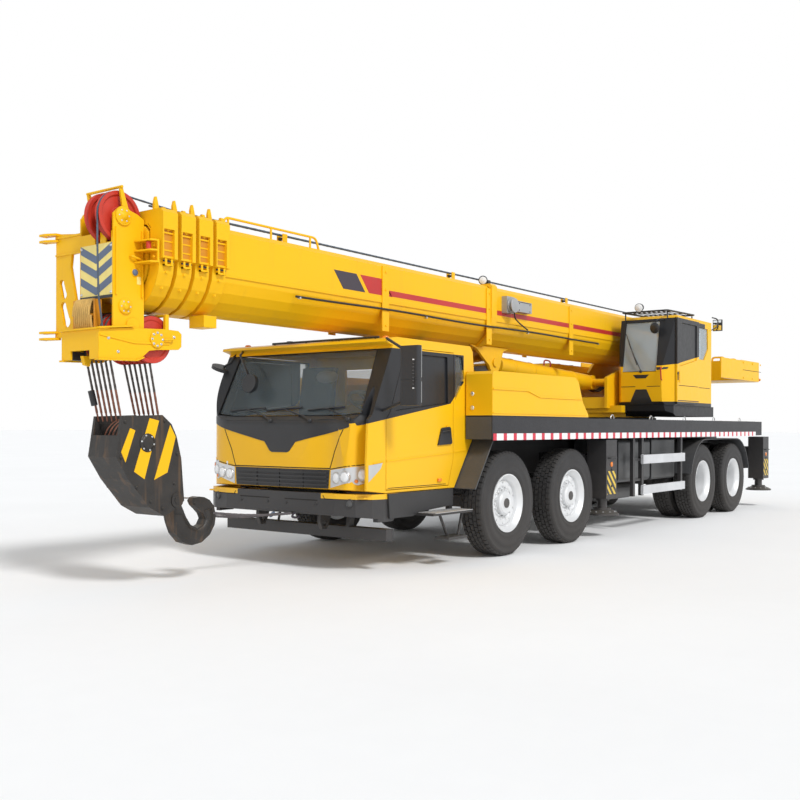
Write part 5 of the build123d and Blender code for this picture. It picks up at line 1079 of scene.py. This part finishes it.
# sling from the hook to the eye under the bumper
g = G()
A1 = Vector((2.975, 0.03, 0.575)); A2 = Vector((2.975, -0.02, 0.548)); B1 = Vector((2.055, 0.18, 0.520)); B2 = Vector((2.02, -0.05, 0.500))
for a, b, rr in ((A1, B1, 0.013), (A2, B2, 0.012)):
    pts = [a.lerp(b, i / 40) - Vector((0, 0, 0.022 * sin(pi * i / 40))) for i in range(41)]
    g.m(0).tube(pts, rr, 12, True, None, 5, 0.07, 0.22)
knot = [(2.052 + 0.030 * cos(a) * (1 + 0.25 * sin(3 * a)), 0.19 + 0.026 * sin(a * 2), 0.512 + 0.034 * sin(a)) for a in [2 * pi * i / 30 for i in range(31)]]
g.m(1).tube(knot, 0.012, 10, True, None, 5, 0.06, 0.2)
g.m(2).tube([(2.20 + 0.018 * cos(a), 0.03 + 0.020 * sin(a), 0.508 + 0.02 * sin(a)) for a in [2 * pi * i / 16 for i in range(17)]], 0.009, 8)
ob = g.obj("lashing_sling", [sling_m, navy, slate], "chassis")
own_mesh(ob)

# ------------------------------------------------------------------ operator's cab
OCN = ("operator_cab",)
g = G()
lay(g.m(0), [(0.565, 2.170), (1.235, 2.170), (1.22, 2.145), (1.03, 2.120), (0.930, 2.020), (0.785, 2.020), (0.700, 2.120), (0.565, 2.140)], 'x', OCN, 0.003, 0.05, near=-4.36)
lay(g.m(0), [(0.780, 1.865), (0.940, 1.865), (1.035, 1.655), (0.685, 1.655)], 'x', OCN, 0.003, 0.05, near=-4.36)
strip(g.m(1), [(0.56, 1.905), (0.775, 1.905)], 0.008, 'x', OCN, 0.0015, near=-4.36); strip(g.m(1), [(0.945, 1.905), (1.14, 1.905)], 0.008, 'x', OCN, 0.0015, near=-4.36)
strip(g.m(1), [(-4.50, 1.915), (-5.95, 1.915)], 0.008, 'y', OCN, 0.0015, 0.08, near=1.30)
g.m(2).tube(bent([(-4.352, 1.158, 2.165), (-4.322, 1.158, 2.160), (-4.322, 1.168, 1.995), (-4.352, 1.168, 1.990)], 0.015), 0.009, 8)
# wiper on the front pane
g.m(0).tube([(-4.345, 0.86, 2.125), (-4.365, 0.74, 2.36), (-4.40, 0.66, 2.52)], 0.006, 8)
g.tube([(-4.352, 0.80, 2.21), (-4.415, 0.61, 2.66)], 0.008, 8)
g.lathe([(0.018, 0.0), (0.018, 0.02), (0.0, 0.024)], (-4.352, 0.86, 2.115), (1, 0, 0), 14)
g.obj("operator_cab_trim", [black, gap_m, redst], "superstructure")
g = G()
g.m(0).lathe([(0.020, -0.003), (0.022, 0.006), (0.016, 0.010), (0.0, 0.010)], (-4.50, 1.3385, 2.085), (0, 1, 0), 16)
g.tube([(-4.50, 1.3385, 2.10), (-4.50, 1.3395, 1.99)], 0.010, 8)
g.box(-5.30, -4.50, 1.3365, 1.3410, 1.700, 1.712)
g.m(1).box(-5.29, -4.53, 1.3370, 1.3395, 1.914, 1.922)
g.obj("operator_door_trim", [black, gap_m], "operator_door")
# roof guard, lamp, mirrors
g = G()
zr = 2.965
fr = [(-4.42, 0.56, zr), (-4.42, 1.22, zr), (-5.45, 1.22, zr + 0.02), (-5.45, 0.56, zr + 0.02), (-4.42, 0.56, zr)]
g.m(0).tube(bent(fr, 0.04), 0.012, 8)
for k in range(9):
    y = 0.60 + k * 0.0725
    g.tube([(-4.42, y, zr), (-5.45, y, zr + 0.02)], 0.006, 6)
for x in (-4.70, -5.05):
    g.tube([(x, 0.56, zr + 0.01), (x, 1.22, zr + 0.01)], 0.007, 6)
for x, y in ((-4.46, 0.58), (-4.46, 1.20), (-5.40, 0.58), (-5.40, 1.20)):
    g.tube([(x, y, 2.86), (x, y, zr)], 0.010, 8)
g.m(0).lathe([(0.035, 0.0), (0.055, 0.015), (0.062, 0.075), (0.058, 0.080), (0.0, 0.078)], (-4.47, 0.80, 3.035), (0.97, 0.1, -0.18), 24)
g.m(1).lathe([(0.056, 0.080), (0.04, 0.088), (0.0, 0.091)], (-4.47, 0.80, 3.035), (0.97, 0.1, -0.18), 24)
g.m(0).tube([(-4.46, 0.80, 2.965), (-4.46, 0.80, 3.02)], 0.010, 8)
g.m(0).tube(bent([(-4.48, 1.14, 2.84), (-4.35, 1.10, 2.84), (-4.33, 1.06, 2.72)], 0.03), 0.008, 8)
g.m(0).lathe([(0.03, 0.0), (0.072, 0.008), (0.078, 0.016), (0.070, 0.018), (0.0, 0.018)], (-4.325, 1.06, 2.715), (-1, 0.25, 0.1), 24)
g.m(2).lathe([(0.070, 0.0185), (0.0, 0.0200)], (-4.325, 1.06, 2.715), (-1, 0.25, 0.1), 24)
g.m(0).tube(bent([(-6.00, 1.27, 2.80), (-6.10, 1.34, 2.86), (-6.12, 1.34, 2.98), (-6.05, 1.27, 3.00)], 0.05), 0.009, 8)
g.m(0).box(-6.145, -6.115, 1.26, 1.40, 2.80, 2.97); g.m(2).box(-6.113, -6.111, 1.27, 1.39, 2.81, 2.96)
g.obj("operator_cab_guard", [black, lens_w, mirror_m], "superstructure")

# ------------------------------------------------------------------ superstructure: winch rope, ballast fittings, hoses
g = G()
pts = []; nt_ = 26
for i in range(nt_ * 24 + 1):
    a = 2 * pi * i / 24; y = -0.305 + 0.610 * i / (nt_ * 24)
    pts.append((-6.70 + 0.182 * cos(a), y, 2.06 + 0.182 * sin(a)))
g.m(0).tube(pts, 0.0115, 8)
pts = []
for i in range(nt_ * 24 + 1):
    a = 2 * pi * i / 24; y = 0.295 - 0.590 * i / (nt_ * 24)
    pts.append((-6.70 + 0.205 * cos(a), y, 2.06 + 0.205 * sin(a)))
g.tube(pts, 0.0115, 8)
g.m(1)
for s_ in (1, -1):
    for k in range(10):
        a = 2 * pi * k / 10
        g.bolt((-6.70 + 0.225 * cos(a), s_ * 0.341, 2.06 + 0.225 * sin(a)), (0, s_, 0), 0.010, 0.008)
g.obj("winch_rope", [wire, alu], "superstructure")
g = G()
for s_ in (1, -1):
    for x in (-7.85, -8.45):
        g.m(0).tube(bent([(x, s_ * 0.85, 2.448), (x, s_ * 0.85, 2.52), (x, s_ * 0.65, 2.52), (x, s_ * 0.65, 2.448)], 0.05), 0.016, 10)
    for k, x in enumerate((-7.0, -7.5, -8.0, -8.5)):
        g.m(0).box(x - 0.004, x + 0.004, s_ * 1.2095, s_ * 1.2115, 2.14, 2.43) if False else None
    g.m(1).box(-8.66, -7.70, s_ * 1.2095, s_ * 1.2120, 2.285, 2.293)
    for x in (-7.72, -8.2, -8.62):
        for z in (2.16, 2.41):
            g.m(0).bolt((x, s_ * 1.2105, z), (0, s_, 0), 0.013, 0.012)
g.m(1).box(-8.7020, -8.6990, -1.15, 1.15, 2.285, 2.293)
for y in (-1.05, -0.6, 0.6, 1.05):
    for z in (2.17, 2.40):
        g.m(0).bolt((-8.7000, y, z), (-1, 0, 0), 0.014, 0.012)
hz = [(-8.703, -8.7)]
for s_ in (1, -1):
    for i in range(6):
        y0 = s_ * (1.19 - 0.09 * i); y1 = s_ * (1.19 - 0.09 * (i + 1))
        g.m(2 if i % 2 else 3).prism([(y0, 2.14), (y1, 2.14), (y1 - s_ * 0.05, 2.27), (y0 - s_ * 0.05, 2.27)], 'x', -8.7035, -8.7002)
g.obj("ballast_fittings", [yellow_p, gap_m, white, red_r], "superstructure")
g = G()
for k in range(48):
    a = 2 * pi * k / 48
    h, nr = hit(("turntable",), 'z', -5.0 + 0.90 * cos(a), 0.90 * sin(a))
    x, y = -5.0 + 0.86 * cos(a), 0.86 * sin(a)
    g.m(0).bolt((x, y, 1.505), (0, 0, 1), 0.013, 0.02) if False else None
# hydraulic hoses from the table to the lift cylinder and the boom foot
for s_ in (1, -1):
    for k in range(3):
        y = s_ * (0.16 + 0.035 * k)
        g.m(0).tube([Vector((-5.35, y, 1.95)).lerp(Vector((-4.72, y, 2.02)), i / 14) + Vector((0, 0, -0.10 * sin(pi * i / 14))) for i in range(15)], 0.013, 8)
g.obj("table_hoses", [hose], "superstructure")
g = G()
ldx, ldz = -1.56 + 4.42, 2.118 - 1.985; L = math.hypot(ldx, ldz); ex = Vector((ldx / L, 0, ldz / L)); ez = Vector((-ldz / L, 0, ldx / L))
B0 = Vector((-4.42, 0, 1.985))
for s_ in (1, -1):
    p = lambda t, h, y=0.06 * s_: tuple(B0 + ex * t + ez * h + Vector((0, y, 0)))
    g.m(1).tube([p(0.35, -0.128), p(2.30, -0.128)], 0.012, 8)
    g.m(0).tube(bent([p(2.30, -0.128), p(2.42, -0.140), p(2.50, -0.100)], 0.04), 0.013, 8)
g.m(0)
for t in (0.55, 1.15, 1.75, 2.25):
    n = 24
    g.m(2).lathe([(0.1165, -0.02), (0.121, -0.018), (0.121, 0.018), (0.1165, 0.02)], tuple(B0 + ex * t), ex, 32)
g.m(3).tube(bent([p_ for p_ in (tuple(B0 + ex * 1.14 + ez * 0.118), tuple(B0 + ex * 1.14 + ez * 0.20), tuple(B0 + ex * 1.32 + ez * 0.20), tuple(B0 + ex * 1.32 + ez * 0.118))], 0.07), 0.010, 8)
g.obj("lift_lines", [hose, alu, yellow_p, redst], "lift_cylinder")

# hoist rope along the boom in lengths that slide out of one another
def top_rope(name, body, x0, x1, r, y=0.150, z0=3.060):
    g = G(); g.rope((x0, y, z0), (x1, y, z0), r, 0.035)
    return g.obj(name, [blue_rope], body)


zt = 3.082
g = G()
for (x0, x1, r, body, nm) in ((-6.30, 3.18, 0.0112, "boom_base", "rope_run_1"), (-5.6, 3.36, 0.0106, "boom_section_2", "rope_run_2"), (-5.55, 3.55, 0.0100, "boom_section_3", "rope_run_3"),
                              (-5.5, 3.74, 0.0094, "boom_section_4", "rope_run_4"), (-5.45, 3.45, 0.0088, "boom_head", "rope_run_5")):
    top_rope(nm, body, x0, x1, r, 0.150, zt + 0.012)
g = G()
# tail guide the rope runs over, and rollers that hold it above the boom
for x in (-6.30, -3.4, -0.6, 2.2):
    for y in (0.115, 0.185):
        g.m(0).box(x - 0.03, x + 0.03, y - 0.005, y + 0.005, 2.995, 3.105)
    g.m(1).lathe([(0.020, -0.030), (0.014, -0.010), (0.014, 0.010), (0.020, 0.030)], (x, 0.150, 3.063), (0, 1, 0), 18)
g.obj("rope_rollers", [yellow_p, black], "boom_base", 0.002)

g = G()
for s_ in (1, -1):
    for x in (-5.2, -5.5, -5.8):
        pass
g = G()
for nm in ("third", "rear"):
    pass

# springs, their clamps and bolts under the frame
g = G()
for ax_, drop in ((0.0, 0), (-1.44, 0), (-5.550, 0), (-6.895, 0)):
    for s_ in (1, -1):
        y = s_ * 0.50
        for k in range(7):
            half = 0.52 - 0.062 * k
            g.m(0).box(ax_ - half, ax_ + half, y - 0.040, y + 0.040, 0.700 + 0.0 - 0.0135 * k, 0.7115 - 0.0135 * k)
        g.m(0).box(ax_ - 0.07, ax_ - 0.045, y - 0.055, y + 0.055, 0.60, 0.725); g.box(ax_ + 0.045, ax_ + 0.07, y - 0.055, y + 0.055, 0.60, 0.725)
        for dx in (-0.0575, 0.0575):
            for dy in (-0.030, 0.030):
                g.m(1).bolt((ax_ + dx, y + dy, 0.724), (0, 0, 1), 0.010, 0.016)
g.obj("leaf_springs", [chassis_m, alu], "chassis")

# ------------------------------------------------------------------ camera at the photograph's viewing angle
cd = bpy.data.cameras.new("cam"); cam = bpy.data.objects.new("cam", cd)
bpy.context.scene.collection.objects.link(cam)
cd.sensor_width = 36.0; cd.sensor_fit = 'HORIZONTAL'; cd.lens = 987.8 * 36.0 / 800.0
cd.shift_x = (400.0 - 387.29) / 800.0; cd.shift_y = (429.37 - 400.0) / 800.0
yaw, pit, rol = math.radians(217.461), math.radians(-0.132), math.radians(0.141)
fw = Vector((math.cos(yaw) * math.cos(pit), math.sin(yaw) * math.cos(pit), math.sin(pit)))
rt = Vector((math.sin(yaw), -math.cos(yaw), 0)); up_v = rt.cross(fw)
r2 = rt * math.cos(rol) + up_v * math.sin(rol); u2 = up_v * math.cos(rol) - rt * math.sin(rol)
M = Matrix(((r2.x, u2.x, -fw.x), (r2.y, u2.y, -fw.y), (r2.z, u2.z, -fw.z))).to_4x4()
M.translation = Vector((8.8633 + SX, 6.4882, 1.3249))
cam.matrix_world = M
bpy.context.scene.camera = cam
# floor and light
floor_m = make("floor_pale", (0.92, 0.92, 0.92), 0.95, var=0.02, scale=0.4)
bpy.ops.mesh.primitive_plane_add(size=600, location=(0, 0, -0.001)); fl = bpy.context.object; fl.name = "floor"
fl.data.materials.append(floor_m)
w = bpy.data.worlds.new("w"); bpy.context.scene.world = w; w.use_nodes = True
wn, wl = w.node_tree.nodes, w.node_tree.links
wt = wn.new("ShaderNodeTexCoord"); ws = wn.new("ShaderNodeSeparateXYZ"); wl.new(wt.outputs["Generated"], ws.inputs[0])
wr = wn.new("ShaderNodeValToRGB"); wl.new(ws.outputs[2], wr.inputs[0]); wl.new(wr.outputs[0], wn["Background"].inputs[0])
wr.color_ramp.elements[0].position = 0.43; wr.color_ramp.elements[0].color = (1.0, 1.0, 1.0, 1)
wr.color_ramp.elements[1].position = 0.56; wr.color_ramp.elements[1].color = (0.46, 0.48, 0.50, 1)
wn["Background"].inputs[1].default_value = 1.0
sd = bpy.data.lights.new("key", 'SUN'); sd.energy = 2.1; sd.angle = 0.20
so = bpy.data.objects.new("key", sd); bpy.context.scene.collection.objects.link(so)
so.rotation_euler = Vector((-0.22, -0.70, -0.68)).to_track_quat('-Z', 'Y').to_euler()
bpy.context.scene.view_settings.view_transform = 'Standard'
